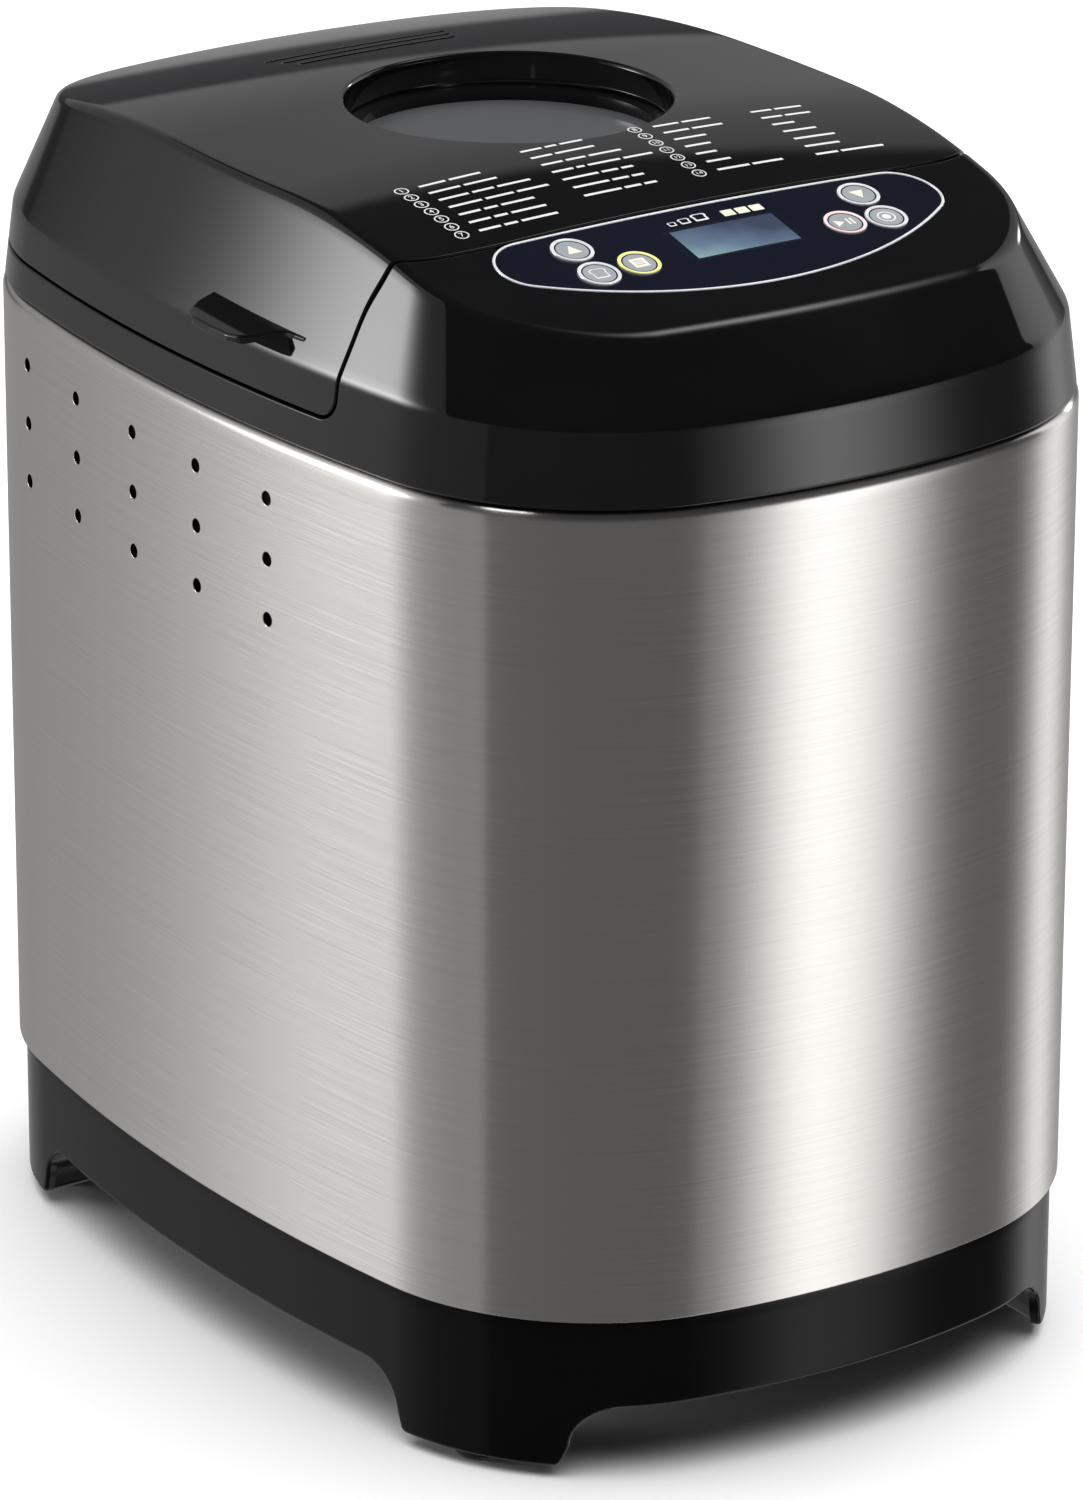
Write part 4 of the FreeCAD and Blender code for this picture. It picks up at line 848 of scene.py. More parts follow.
# ---------------------------------------------------------------- control panel frame
KN = CROWN_K * math.cos(TILT)


def v_of(y):
    return (y - PANEL_Y) / math.cos(TILT)


def on_panel(u, v, n=0.0):
    u, v = np.asarray(u, float), np.asarray(v, float)
    h = n - 0.5 * KN * u * u
    return np.stack([u, PANEL_Y + v * math.cos(TILT) - h * math.sin(TILT), PANEL_Z + v * math.sin(TILT) + h * math.cos(TILT)], -1)


def panel_uv(P):
    d = P - np.array([0, PANEL_Y, PANEL_Z])
    return d[:, 0], d[:, 1] * math.cos(TILT) + d[:, 2] * math.sin(TILT)


def panel_outline(n=40):
    vt = v_of(-77.4)
    re = 11.6
    ce = np.array([56.6, vt - 11.6])
    cb = np.array([0.0, v_of(-117.6) + 109.66])
    d = ce - cb
    l = np.linalg.norm(d)
    rb = l + re
    a_end = math.atan2(d[1], d[0])
    pts = [(u, vt) for u in np.linspace(-56.6, 56.6, 2 * n)]
    pts += [(ce[0] + re * math.cos(a), ce[1] + re * math.sin(a)) for a in np.linspace(math.pi / 2, a_end, n)[1:]]
    pts += [(rb * math.cos(a), cb[1] + rb * math.sin(a)) for a in np.linspace(a_end, -math.pi - a_end, 3 * n)[1:]]
    pts += [(-ce[0] + re * math.cos(a), ce[1] + re * math.sin(a)) for a in np.linspace(math.pi - a_end, math.pi / 2, n)[1:-1]]
    return np.array(pts)


OUTLINE = panel_outline()


def loop_distance(px, py, loop):
    # signed distance to a closed loop, positive outside
    a, b = loop, np.roll(loop, -1, 0)
    best = np.full(len(px), 1e9)
    odd = np.zeros(len(px), bool)
    for (ax, ay), (bx, by) in zip(a, b):
        ex, ey = bx - ax, by - ay
        wx, wy = px - ax, py - ay
        t = np.clip((wx * ex + wy * ey) / max(ex * ex + ey * ey, 1e-12), 0, 1)
        best = np.minimum(best, np.hypot(wx - ex * t, wy - ey * t))
        cond = ((ay > py) != (by > py))
        if abs(ey) > 1e-12:
            odd ^= cond & (px < ex * (py - ay) / ey + ax)
    return np.where(odd, -best, best)


# ---------------------------------------------------------------- fixed upper housing
S = grid_surface(MASTER)
P = S["P"]
room = np.minimum(seam_plan(P), seam_side(P)) + SEAM_GAP
notch = np.maximum(np.abs(np.abs(P[:, 0]) - 42.0) - 9.0, 273.2 - P[:, 2])
f = -room - EDGE
f = np.where(P[:, 1] > 100, np.minimum(f, notch - EDGE), f)
u, v = panel_uv(P)
near = (P[:, 1] < -70) & (P[:, 2] > 300)
fp = np.full(len(P), 1e3)
fp[near] = loop_distance(u[near], v[near], OUTLINE)
f = np.minimum(f, fp - 0.12)
frame_s = clip(S, f)


def frame_radius(p):
    if p[:, 2].max() < 268 and p[:, 2].min() < 268:
        return 1.0
    if p[:, 1].max() < -70:
        return 0.12
    return EDGE


frame_parts = [shell(frame_s, 2.6, frame_radius, None, 5)]


def ring_between(outer, inner, rows):
    return np.stack([outer * (1 - w) + inner * w for w in np.linspace(0, 1, rows)], 1)


def rounded_rect(hx, hy, r, yc, angles):
    # point of a rounded rectangle in each direction from its centre
    out = []
    for a in angles:
        dx, dy = abs(math.cos(a)), abs(math.sin(a))
        lo, hi = 0.0, hx + hy
        for _ in range(40):
            m = 0.5 * (lo + hi)
            q = math.hypot(max(m * dx - (hx - r), 0), max(m * dy - (hy - r), 0)) - r
            q = max(q, max(m * dx - hx, m * dy - hy)) if q < -r + 1e-9 else q
            lo, hi = (m, hi) if q < 0 else (lo, m)
        out.append((lo * math.cos(a), yc + lo * math.sin(a)))
    return np.array(out)


# deck under the lid, with the mouth of the oven
o_xy, _ = on_arcs(S_ARCS, KS, US, 2.6)
ang = np.arctan2(o_xy[:, 1] - AXIS_Y, o_xy[:, 0])
i_xy = rounded_rect(80.8, 86.8, 33.8, AXIS_Y, ang)
G = ring_between(with_z(o_xy, Z_DECK - 0.02), with_z(i_xy, Z_DECK - 0.02), 24)
D = grid_surface(G)
P = D["P"]
f = np.maximum(np.abs(np.abs(P[:, 0]) - 42.0) - 9.0, 132.5 - P[:, 1]) - 0.4
frame_parts.append(shell(clip(D, f), 4.2, 0.8, None, 4))
for sx in (1, -1):
    x0, x1 = (32.0, 52.0) if sx > 0 else (-52.0, -32.0)
    frame_parts.append(x_prism([(131.5, 271.4), (150.0, 271.4), (150.0, 273.2), (131.5, 273.2)], x0, x1, 0.3))
    for a, b in ((33.5, 37.5), (46.5, 50.5)):
        a, b = (a, b) if sx > 0 else (-b, -a)
        ear = [(HINGE_Y + 4.2, 272.0)] + [(HINGE_Y + HINGE_R * math.cos(t), HINGE_Z + HINGE_R * math.sin(t)) for t in np.linspace(math.radians(-20), math.radians(200), 32)] + [(HINGE_Y - 4.2, 272.0)]
        frame_parts.append(x_prism(ear, a, b, 0.4))
# wall of the pod behind the seam, with its ledge and cove
xs = np.linspace(-101.5, 101.5, 140)
rows = []
sy = seam_y(xs) - SEAM_GAP - EDGE
zt = top_height(xs, sy) - 1.3
for w in np.linspace(0, 1, 16):
    rows.append(np.stack([xs, sy + EDGE - 0.06, np.minimum(zt + (283.6 - zt) * w, 400)], 1))
rows.append(np.stack([xs, sy + EDGE + 0.3, np.full_like(xs, 282.7)], 1))
rows.append(np.stack([xs, sy + EDGE + 1.2, np.full_like(xs, 282.38)], 1))
ye = np.full_like(xs, -68.6)
rows.append(np.stack([xs, np.maximum(ye, sy + EDGE + 1.3), np.full_like(xs, 282.36)], 1))
for t in np.linspace(0, math.pi / 2, 9)[1:]:
    rows.append(np.stack([xs, np.full_like(xs, -62.0 - 6.7 * math.cos(t)), np.full_like(xs, 282.4 - 6.7 * math.sin(t))], 1))
rows.append(np.stack([xs, np.full_like(xs, -60.5), np.full_like(xs, Z_DECK)], 1))
W = grid_surface(np.stack(rows, 1)[::-1], False)
P = W["P"]
lat = np.interp(P[:, 2], [Z_RIM0, Z_CREASE, Z_TOPSEC, 330], [INSET_RIM, INSET_CREASE, INSET_TOPSEC, INSET_TOPSEC + 4.5])
rad = RS - lat - 1.0
lim = SIDE_CX + np.sqrt(np.maximum(rad ** 2 - P[:, 1] ** 2, 0))
lim = np.where(P[:, 2] > 312, lim - 0.04 * (P[:, 2] - 312) ** 2 * 0.5, lim)
frame_parts.append(shell(clip(W, lim - np.abs(P[:, 0])), 2.4, 0.2, None, 2))
frame_all = merge(*frame_parts)
top = build("top_frame_skin", frame_all, [MATS["gloss_black"]], "housing", "top_frame")

# ---------------------------------------------------------------- steel wrap
cols = []
for y in VENT_COLS:
    cols += list(y + np.linspace(-3.2, 3.2, 21))
side_u = []
for k in (0, 4):
    (cx, cy), r, a0, a1 = S_ARCS[k]
    a_vent = np.arcsin(np.array(cols) / r)
    a_vent = a_vent if k == 0 else math.pi - a_vent
    uu = (a_vent - a0) / (a1 - a0)
    uu = np.concatenate([uu, np.linspace(0, 1, 60, endpoint=False)])
    uu = np.sort(uu[(uu >= 0) & (uu < 1)])
    keep = [uu[0]]
    for q in uu[1:]:
        if (q - keep[-1]) * abs(a1 - a0) * r > 0.12:
            keep.append(q)
    side_u.append(np.array(keep))
wk, wu = [], []
for k in range(8):
    uu = side_u[0] if k == 0 else side_u[1] if k == 4 else np.linspace(0, 1, 56, endpoint=False)
    wk.append(np.full(len(uu), k))
    wu.append(uu)
wk, wu = np.concatenate(wk), np.concatenate(wu)
zr = [Z_STEEL0 + 0.3] + list(np.linspace(48, 210, 22))
for z in sorted(VENT_ROWS):
    zr += list(z + np.linspace(-3.2, 3.2, 21))
zr += [222.5, 240.5, 255, 258, 261, 263.3]
zr = sorted(zr)
zk = [zr[0]]
for z in zr[1:]:
    if z - zk[-1] > 0.12:
        zk.append(z)
rows, run = [], []
xy0, _ = on_arcs(S_ARCS, wk, wu, 0.06)
step = np.linalg.norm(np.roll(xy0, -1, 0) - xy0, axis=1)
along = np.concatenate([[0], np.cumsum(step)[:-1]])
for z in zk:
    rows.append(with_z(xy0, z))
    run.append(np.stack([along, np.full_like(along, z)], 1))
for i in range(1, 8):
    t = math.pi / 2 * i / 7
    xy, _ = on_arcs(S_ARCS, wk, wu, 0.06 + 2.6 * (1 - math.cos(t)))
    rows.append(with_z(xy, 263.3 + 2.6 * math.sin(t)))
    run.append(np.stack([along, np.full_like(along, 263.3 + 2.6 * t)], 1))
for d in (4.5, 6.6):
    xy, _ = on_arcs(S_ARCS, wk, wu, d)
    rows.append(with_z(xy, Z_STEEL1))
    run.append(np.stack([along, np.full_like(along, 263.3 + 4.1 + d - 2.6)], 1))
S = grid_surface(np.stack(rows, 1), True, np.stack(run, 1))
P = S["P"]
f = np.full(len(P), 1e3)
for y in VENT_COLS:
    for z in VENT_ROWS:
        f = np.minimum(f, np.hypot(P[:, 1] - y, P[:, 2] - z) - VENT_R)
f = np.where(np.abs(P[:, 0]) > 70, f, 1e3)
wrap = shell(clip(S, f - 0.22), 0.8, lambda p: 0.22 if p[:, 2].max() - p[:, 2].min() < 6 and p[:, 2].min() > 100 and np.ptp(p[:, 1]) < 6 else 0.3, None, 3)
wrap_o = build("steel_wrap_sheet", wrap, [MATS["stainless"]], "housing", "steel_wrap", uv=True)

# ---------------------------------------------------------------- base
def leg_profile(points):
    # half profile of the opening between two legs: (distance from the middle, height)
    (y0, z0), (y1, z1), (ym, zm), (y2, z2) = points
    A, B, C = np.array((y1, z1)), np.array((ym, zm)), np.array((y2, z2))
    d = 2 * (A[0] * (B[1] - C[1]) + B[0] * (C[1] - A[1]) + C[0] * (A[1] - B[1]))
    ux = ((A @ A) * (B[1] - C[1]) + (B @ B) * (C[1] - A[1]) + (C @ C) * (A[1] - B[1])) / d
    uy = ((A @ A) * (C[0] - B[0]) + (B @ B) * (A[0] - C[0]) + (C @ C) * (B[0] - A[0])) / d
    r = math.hypot(A[0] - ux, A[1] - uy)
    t0, t1 = math.atan2(A[1] - uy, A[0] - ux), math.atan2(C[1] - uy, C[0] - ux)
    arc = [(ux + r * math.cos(t), uy + r * math.sin(t)) for t in np.linspace(t0, t1, 24)]
    return np.array([(y0, z0)] + arc + [(0.0, z2)])


SIDE_OPEN = leg_profile([(93.2, 0.0), (90.2, 9.5), (86.9, 16.2), (78.0, Z_SKIRT)])
FRONT_OPEN = leg_profile([(79.6, 0.0), (76.2, 9.0), (73.2, 16.6), (65.5, Z_SKIRT)])


def open_distance(h, z, prof):
    loop = np.concatenate([prof, [(-prof[i, 0], prof[i, 1]) for i in range(len(prof) - 2, -1, -1)], [(-prof[0, 0], -30.0), (prof[0, 0], -30.0)]])
    return loop_distance(h, z, loop)


BASE_R = 1.1
bk, bu = stations([100, 90, 80, 90, 100, 90, 80, 90])
rows = []
for z in list(np.linspace(3.0, 26.0, 36)) + [29, 33, 37, 41, 44.3]:
    xy, _ = on_arcs(S_ARCS, bk, bu, 2.0)
    rows.append(with_z(xy, z))
for i in range(1, 6):
    t = math.pi / 2 * i / 5
    xy, _ = on_arcs(S_ARCS, bk, bu, 2.0 + 1.2 * (1 - math.cos(t)))
    rows.append(with_z(xy, 44.25 + 1.2 * math.sin(t)))
xy, _ = on_arcs(S_ARCS, bk, bu, 7.5)
rows.append(with_z(xy, 45.45))
S = grid_surface(np.stack(rows, 1))
P = S["P"]
f = np.minimum(open_distance(P[:, 1], P[:, 2], SIDE_OPEN), open_distance(P[:, 0], P[:, 2], FRONT_OPEN))
f = np.minimum(f, P[:, 2] - Z_LEG) - BASE_R
f = np.minimum(f, np.where(P[:, 1] > 100, np.hypot(P[:, 0] - 46.0, P[:, 2] - 34.0) - 5.3, 1e3))
base_parts = [shell(clip(S, f), 2.8, lambda p: BASE_R if p[:, 2].min() < 30 and np.ptp(p[:, 0]) > 20 else 0.2, None, 5)]
# legs: solid corners behind the skirt
for sx in (1, -1):
    for sy in (1, -1):
        levels = []
        for z, inset in [(3.5, 1.0), (3.62, 0.5), (4.0, 0.15), (4.6, 0.0)] + [(q, 0.0) for q in np.linspace(5.5, 24.6, 22)]:
            zz = min(z, Z_SKIRT - 0.01)
            X = np.interp(zz, FRONT_OPEN[:-1, 1], FRONT_OPEN[:-1, 0]) + 0.15 + inset
            Y = np.interp(zz, SIDE_OPEN[:-1, 1], SIDE_OPEN[:-1, 0]) + 0.15 + inset
            kk, uu = stations([400, 400, 400])
            q, _ = on_arcs(S_ARCS, kk, uu, 2.5 + inset)
            m = (q[:, 0] > X) & (q[:, 1] > Y) & (q[:, 0] > 0)
            q = q[m]
            q = q[np.argsort(np.arctan2(q[:, 1], q[:, 0]))]
            ends = [np.array([q[0, 0], Y]), np.array([X, q[-1, 1]])]
            q = np.concatenate([[ends[0]], q, [ends[1]]])
            dist = np.concatenate([[0], np.cumsum(np.linalg.norm(np.diff(q, axis=0), axis=1))])
            s = np.linspace(0, dist[-1], 26)
            outer = np.stack([np.interp(s, dist, q[:, 0]), np.interp(s, dist, q[:, 1])], 1)
            corner = np.array([X, Y])
            inner = []
            for w in np.linspace(0, 1, 14)[1:]:
                inner.append(outer[-1] * (1 - w) + corner * w)
            for w in np.linspace(0, 1, 14)[1:-1]:
                inner.append(corner * (1 - w) + outer[0] * w)
            levels.append(with_z(np.concatenate([outer, np.array(inner)]), z))
        L = np.stack(levels, 1)
        L[:, :, 0] *= sx
        L[:, :, 1] *= sy
        if sx * sy < 0:
            L = L[::-1]
        leg = grid_surface(L, True)
        k, m = L.shape[:2]
        leg["F"].append(tuple(reversed([i * m for i in range(k)])))
        leg["F"].append(tuple(i * m + m - 1 for i in range(k)))
        leg["N"] = face_normals_to_points(leg["P"], leg["F"])
        base_parts.append(leg)
# floor plate with air slots
o_xy, _ = on_arcs(S_ARCS, bk, bu, 4.4)
G = np.stack([with_z(o_xy * w, 24.0) for w in np.linspace(1.0, 0.02, 70)], 1)[::-1]
S = grid_surface(G)
P = S["P"]
f = np.full(len(P), 1e3)
for i in range(7):
    x = -36.0 + 12.0 * i
    for yc in (-17.5, 70.5):
        f = np.minimum(f, np.hypot(P[:, 0] - x, np.maximum(np.abs(P[:, 1] - yc) - 20.8, 0)) - 1.7)
for sx in (1, -1):
    for y in (-72.0, 90.0):
        f = np.minimum(f, np.hypot(P[:, 0] - sx * 64.0, P[:, 1] - y) - 2.1)
base_parts.append(shell(clip(S, f - 0.15), 2.5, 0.15, None, 2))
base_o = build("base_moulding", merge(*base_parts), [MATS["satin_black"]], "housing", "base")

# ---------------------------------------------------------------- panel sheet, outline, display and buttons
def offset_loop(loop, d):
    nxt, prv = np.roll(loop, -1, 0), np.roll(loop, 1, 0)
    t = unit(nxt - prv)
    n = np.stack([t[:, 1], -t[:, 0]], 1)
    area = 0.5 * np.sum(loop[:, 0] * nxt[:, 1] - nxt[:, 0] * loop[:, 1])
    return loop - n * d * (1 if area > 0 else -1)


def panel_patch(u0, u1, v0, v1, nu, nv, n=0.0):
    uu, vv = np.meshgrid(np.linspace(u0, u1, nu), np.linspace(v0, v1, nv), indexing="ij")
    return grid_surface(on_panel(uu, vv, n), False), uu.ravel(), vv.ravel()


S, u, v = panel_patch(-70, 70, v_of(-119.5), v_of(-76), 260, 90, 0.0)
f = -loop_distance(u, v, OUTLINE) - 1.0
for name, (bx, by) in BUTTONS.items():
    f = np.minimum(f, np.hypot(u - bx, v - v_of(by)) - 6.0)
lens_v = v_of(LCD_Y)
f = np.minimum(f, np.maximum(np.abs(u) - LCD_W / 2, np.abs(v - lens_v) - LCD_H / 2))
overlay = shell(clip(S, f - 0.1), 0.95, 0.1, None, 3)
build("panel_sheet", overlay, [MATS["panel_navy"]], "housing", "panel_overlay")

# silver outline: a half round bead
dense = OUTLINE
mid = offset_loop(dense, 0.55)
t = unit(np.roll(mid, -1, 0) - np.roll(mid, 1, 0))
nrm = np.stack([t[:, 1], -t[:, 0]], 1)
bead = [(-0.36, -0.8)] + [(-0.36 * math.cos(a), 0.02 + 0.22 * math.sin(a)) for a in np.linspace(0, math.pi, 9)] + [(0.36, -0.8)]
G = np.stack([on_panel(mid[:, 0] + nrm[:, 0] * a, mid[:, 1] + nrm[:, 1] * a, b) for a, b in bead], 1)
S = grid_surface(G, True, wrap_t=True)
build("panel_outline", S, [MATS["trim_silver"]], "housing", "panel_trim")

# display
S, u, v = panel_patch(-LCD_W / 2 + 0.15, LCD_W / 2 - 0.15, lens_v - LCD_H / 2 + 0.15, lens_v + LCD_H / 2 - 0.15, 71, 31, 0.02)
cu = np.array([u[list(p)].mean() for p in S["F"]])
cv = np.array([v[list(p)].mean() for p in S["F"]])
inside = (np.abs(cu) < 16.0) & (np.abs(cv - v_of(-94.35)) < 6.85)
lens = shell(S, 0.95, 0.12, None, 3)
lens["M"] = [1 if k < len(inside) and inside[k] else 0 for k in range(len(lens["F"]))]
build("lcd_window", lens, [MATS["panel_navy"], MATS["display"]], "housing", "lcd_lens")

PANEL_AXES = np.array([[1, 0, 0], [0, math.cos(TILT), math.sin(TILT)], [0, -math.sin(TILT), math.cos(TILT)]])


def decal(name, loops, place, mat, body, thick=0.035):
    """Thin printed mark: each item is (outer loop, list of hole loops) in surface coordinates; place(u, v, n) puts it on the surface."""
    P, F = [], []
    for outer, holes in loops:
        c = bpy.data.curves.new("tmp", "CURVE")
        c.dimensions = "2D"
        c.fill_mode = "BOTH"
        for lp in [outer] + list(holes):
            s = c.splines.new("POLY")
            s.points.add(len(lp) - 1)
            for pt, (a, b) in zip(s.points, lp):
                pt.co = (a, b, 0, 1)
            s.use_cyclic_u = True
        o = bpy.data.objects.new("tmp", c)
        bpy.context.scene.collection.objects.link(o)
        me = bpy.data.meshes.new_from_object(o.evaluated_get(bpy.context.evaluated_depsgraph_get()))
        base = len(P)
        P += [(q.co.x, q.co.y) for q in me.vertices]
        for p in me.polygons:
            q = [v + base for v in p.vertices]
            if p.normal.z < 0:
                q.reverse()
            F.append(tuple(q))
        bpy.data.objects.remove(o)
        bpy.data.curves.remove(c)
        bpy.data.meshes.remove(me)
    return solid_sheet(name, np.array(P), F, place, mat, body, thick)


def solid_sheet(name, uv, F, place, mat, body, thick):
    n = len(uv)
    hi = place(uv[:, 0], uv[:, 1], thick)
    lo = place(uv[:, 0], uv[:, 1], -0.03)
    faces = list(F) + [tuple(reversed([v + n for v in p])) for p in F]
    for lp in open_edges(F, n):
        for i in range(len(lp)):
            a, b = lp[i], lp[(i + 1) % len(lp)]
            faces.append((b, a, a + n, b + n))
    V = np.concatenate([hi, lo])
    S = {"P": V, "N": V, "U": np.zeros((len(V), 2)), "F": faces}
    o = build(name, S, [mat], body, None, custom=False, sharp=40)
    return o


def ring_loop(cx, cy, r, n=48):
    return [(cx + r * math.cos(2 * math.pi * i / n), cy + r * math.sin(2 * math.pi * i / n)) for i in range(n)]


def rect_loop(x0, y0, x1, y1, r=0.0, steps=4):
    pts = [(x0, y0), (x1, y0), (x1, y1), (x0, y1)]
    return [tuple(p) for p in (round_corners(pts, r, steps) if r > 0 else pts)]


def loaf_loop(cx, cy, w, h):
    # side view of a loaf: straight foot, bulging top
    pts = [(-0.42, -0.5), (0.42, -0.5), (0.42, 0.05), (0.5, 0.22), (0.44, 0.42), (0.25, 0.5), (0.0, 0.47), (-0.25, 0.5), (-0.44, 0.42), (-0.5, 0.22), (-0.42, 0.05)]
    return [tuple(p) for p in round_corners([(cx + a * w, cy + b * h) for a, b in pts], 0.08 * w, 3)]


def button_piece(name, bx, by):
    n0 = -0.5 * KN * bx * bx
    v = v_of(by)
    ring_mat = {"button_menu": MATS["ring_yellow"], "button_start": MATS["ring_red"]}.get(name, MATS["trim_silver"])
    # cap with a shallow dished top inside a raised ring
    prof = [(0.02, 0.28), (2.4, 0.27), (4.3, 0.22), (4.72, 0.24), (4.85, 0.34), (5.0, 0.44), (5.25, 0.5), (5.5, 0.47), (5.66, 0.36), (5.7, 0.2), (5.7, -2.4), (5.2, -2.4), (5.2, -4.4), (0.02, -4.4)]
    prof = [(r, z + n0) for r, z in prof]
    o = np.array([bx, PANEL_Y + v * math.cos(TILT), PANEL_Z + v * math.sin(TILT)])
    segs = 72
    ang = np.arange(segs) * 2 * math.pi / segs
    pr = np.array(prof)
    loc = np.zeros((segs, len(pr), 3))
    loc[:, :, 0] = np.cos(ang)[:, None] * pr[None, :, 0]
    loc[:, :, 1] = np.sin(ang)[:, None] * pr[None, :, 0]
    loc[:, :, 2] = pr[None, :, 1]
    G = (loc @ PANEL_AXES + o)[:, ::-1]
    S = grid_surface(G, True)
    rmid = np.array([np.hypot(*(((S["P"][list(p)].mean(0) - o) @ PANEL_AXES.T)[:2])) for p in S["F"]])
    zmid = np.array([((S["P"][list(p)].mean(0) - o) @ PANEL_AXES.T)[2] for p in S["F"]])
    S["M"] = [(1 if r > 4.78 else 2 if r > 4.2 else 0) if z > n0 - 0.3 else 0 for r, z in zip(rmid, zmid)]
    S["F"].append(tuple(i * len(pr) + len(pr) - 1 for i in range(segs)))
    S["F"].append(tuple(reversed([i * len(pr) for i in range(segs)])))
    S["M"] += [0, 0]
    b = build(name + "_cap", S, [MATS["button_grey"], ring_mat, MATS["panel_navy"]], name + "_body", name)

    def place(a, c, n):
        a, c = np.asarray(a, float), np.asarray(c, float)
        rr = np.hypot(a, c)
        h = np.interp(rr, [0, 2.4, 4.3, 4.7], [0.28, 0.27, 0.22, 0.24]) + n + n0
        q = np.stack([a, c, h], -1)
        return q @ PANEL_AXES + o
    return place


PLACES = {n: button_piece(n, *p) for n, p in BUTTONS.items()}


def frame_of(loop, w):
    lp = np.array(loop)
    c = lp.mean(0)
    return [tuple(q) for q in (lp - c) * w + c]


decal("mark_up", [([(-2.1, -1.7), (2.1, -1.7), (0, 2.1)], [])], PLACES["button_up"], MATS["ink_cream"], "button_up_body")
decal("mark_down", [([(-2.1, 1.7), (0, -2.1), (2.1, 1.7)], [])], PLACES["button_down"], MATS["ink_cream"], "button_down_body")
lf = loaf_loop(0, 0, 5.0, 4.6)
decal("mark_loaf", [(lf, [frame_of(lf, 0.84)])], PLACES["button_loaf"], MATS["ink_white"], "button_loaf_body")
decal("mark_menu", [(rect_loop(-2.2, -2.1, 2.2, 2.1, 0.3), [rect_loop(-1.3, 0.75, 1.3, 1.05), rect_loop(-1.3, -0.15, 1.3, 0.15), rect_loop(-1.3, -1.05, 1.3, -0.75)])], PLACES["button_menu"], MATS["ink_cream"], "button_menu_body")
decal("mark_crust", [(ring_loop(0, 0, 2.5, 40), [ring_loop(0, 0, 2.1, 40)]), (ring_loop(0, 0, 1.2, 30), [])], PLACES["button_crust"], MATS["ink_white"], "button_crust_body")
decal("mark_start", [([(-2.9, -1.6), (-0.3, 0), (-2.9, 1.6)], []), (rect_loop(0.6, -1.5, 1.25, 1.5), []), (rect_loop(1.9, -1.5, 2.55, 1.5), [])], PLACES["button_start"], MATS["ink_cream"], "button_start_body")


def put_panel(a, b, n):
    return on_panel(a, b, n)


rows_v = v_of(-84.0)
marks = []
for cx, w in ((-12.6, 2.6), (-8.6, 3.6), (-3.6, 4.8)):
    lp = loaf_loop(cx, rows_v - 1.2 + w * 0.36, w, w * 0.72)
    marks.append((lp, [frame_of(lp, 0.72)]))
decal("panel_marks_size", marks, put_panel, MATS["ink_white"], "housing")
sw = []
for i, cx in enumerate((3.2, 7.6, 12.0)):
    sw.append((rect_loop(cx, rows_v - 1.4, cx + 3.6, rows_v + 1.5, 0.2), []))
decal("panel_marks_crust", sw, put_panel, MATS["ink_cream"], "housing")


# ---------------------------------------------------------------- printed list on the lid: numbered rings and plain bars
def put_lid(a, b, n):
    a, b = np.asarray(a, float), np.asarray(b, float)
    return np.stack([a, b, top_height(a, b) + n], -1)


def number_mesh(text, cx, cy, size):
    c = bpy.data.curves.new("tmp", "FONT")
    c.body = text
    c.size = size
    c.align_x = "CENTER"
    c.align_y = "CENTER"
    c.resolution_u = 3
    o = bpy.data.objects.new("tmp", c)
    bpy.context.scene.collection.objects.link(o)
    me = bpy.data.meshes.new_from_object(o.evaluated_get(bpy.context.evaluated_depsgraph_get()))
    P = [(q.co.x + cx, q.co.y + cy) for q in me.vertices]
    F = []
    for p in me.polygons:
        q = list(p.vertices)
        if p.normal.z < 0:
            q.reverse()
        F.append(tuple(q))
    bpy.data.objects.remove(o)
    bpy.data.curves.remove(c)
    bpy.data.meshes.remove(me)
    return P, F


rings, numP, numF, bars = [], [], [], []


def bar_line(x, y, words):
    for w in words:
        if w > 0:
            n = max(2, int(w / 2.5))
            top_pts = [(x + w * i / n, y + 0.48) for i in range(n + 1)]
            bot_pts = [(x + w * i / n, y - 0.48) for i in range(n + 1)]
            bars.append((bot_pts + top_pts[::-1], []))
            x += w
        else:
            x -= w


LEFT_A = [(8, -1.2, 9.5), (9.5, -1.2, 10), (9, -1.2, 6.5, -1.2, 10), (10, -1.2, 8.5, -1.2, 9.5), (6.5, -1.2, 4, -1.2, 10), (6.5, -1.2, 4, -1.2, 10.5), (6.5, -1.2, 4, -1.2, 11)]
LEFT_B = [(6.5, -1.1, 3.5, -1.1, 7), (6.5, -1.1, 12), (6.5, -1.1, 6, -1.1, 10), (6.5, -1.1, 2.4, -1.1, 10, -1.1, 9), (11, -1.1, 5, -1.1, 3.6), (11, -1.1, 5, -1.1, 3.6), (11.5, -1.1, 5, -1.1, 3.8)]
RIGHT_A = [(8, -1.1, 9), (8, -1.1, 9.5), (10,), (8,), (6.5,), (7.5,), (10, -1.1, 9.5)]
RIGHT_B = [(6.5, -1.1, 8.5), (6.5, -1.1, 8), (7,), (10.5,), (13,), (11,), (7, -1.1, 13.5)]
for i in range(7):
    yl = -40.4 - 4.68 * i
    yr = -34.0 - 4.92 * i
    for cx, y, num in ((-66.3, yl, i + 1), (10.2, yr, i + 8)):
        rings.append((ring_loop(cx, y, 1.95, 36), [ring_loop(cx, y, 1.6, 36)]))
        p, q = number_mesh(str(num), cx, y, 2.7 if num < 10 else 2.2)
        numF += [tuple(v + len(numP) for v in poly) for poly in q]
        numP += p
    bar_line(-61.0, yl, LEFT_A[i])
    bar_line(-25.6, yr, LEFT_B[i])
    bar_line(16.0, yr, RIGHT_A[i])
    bar_line(47.0, yr - 0.4, RIGHT_B[i])
decal("lid_number_rings", rings, put_lid, MATS["ink_white"], "lid")
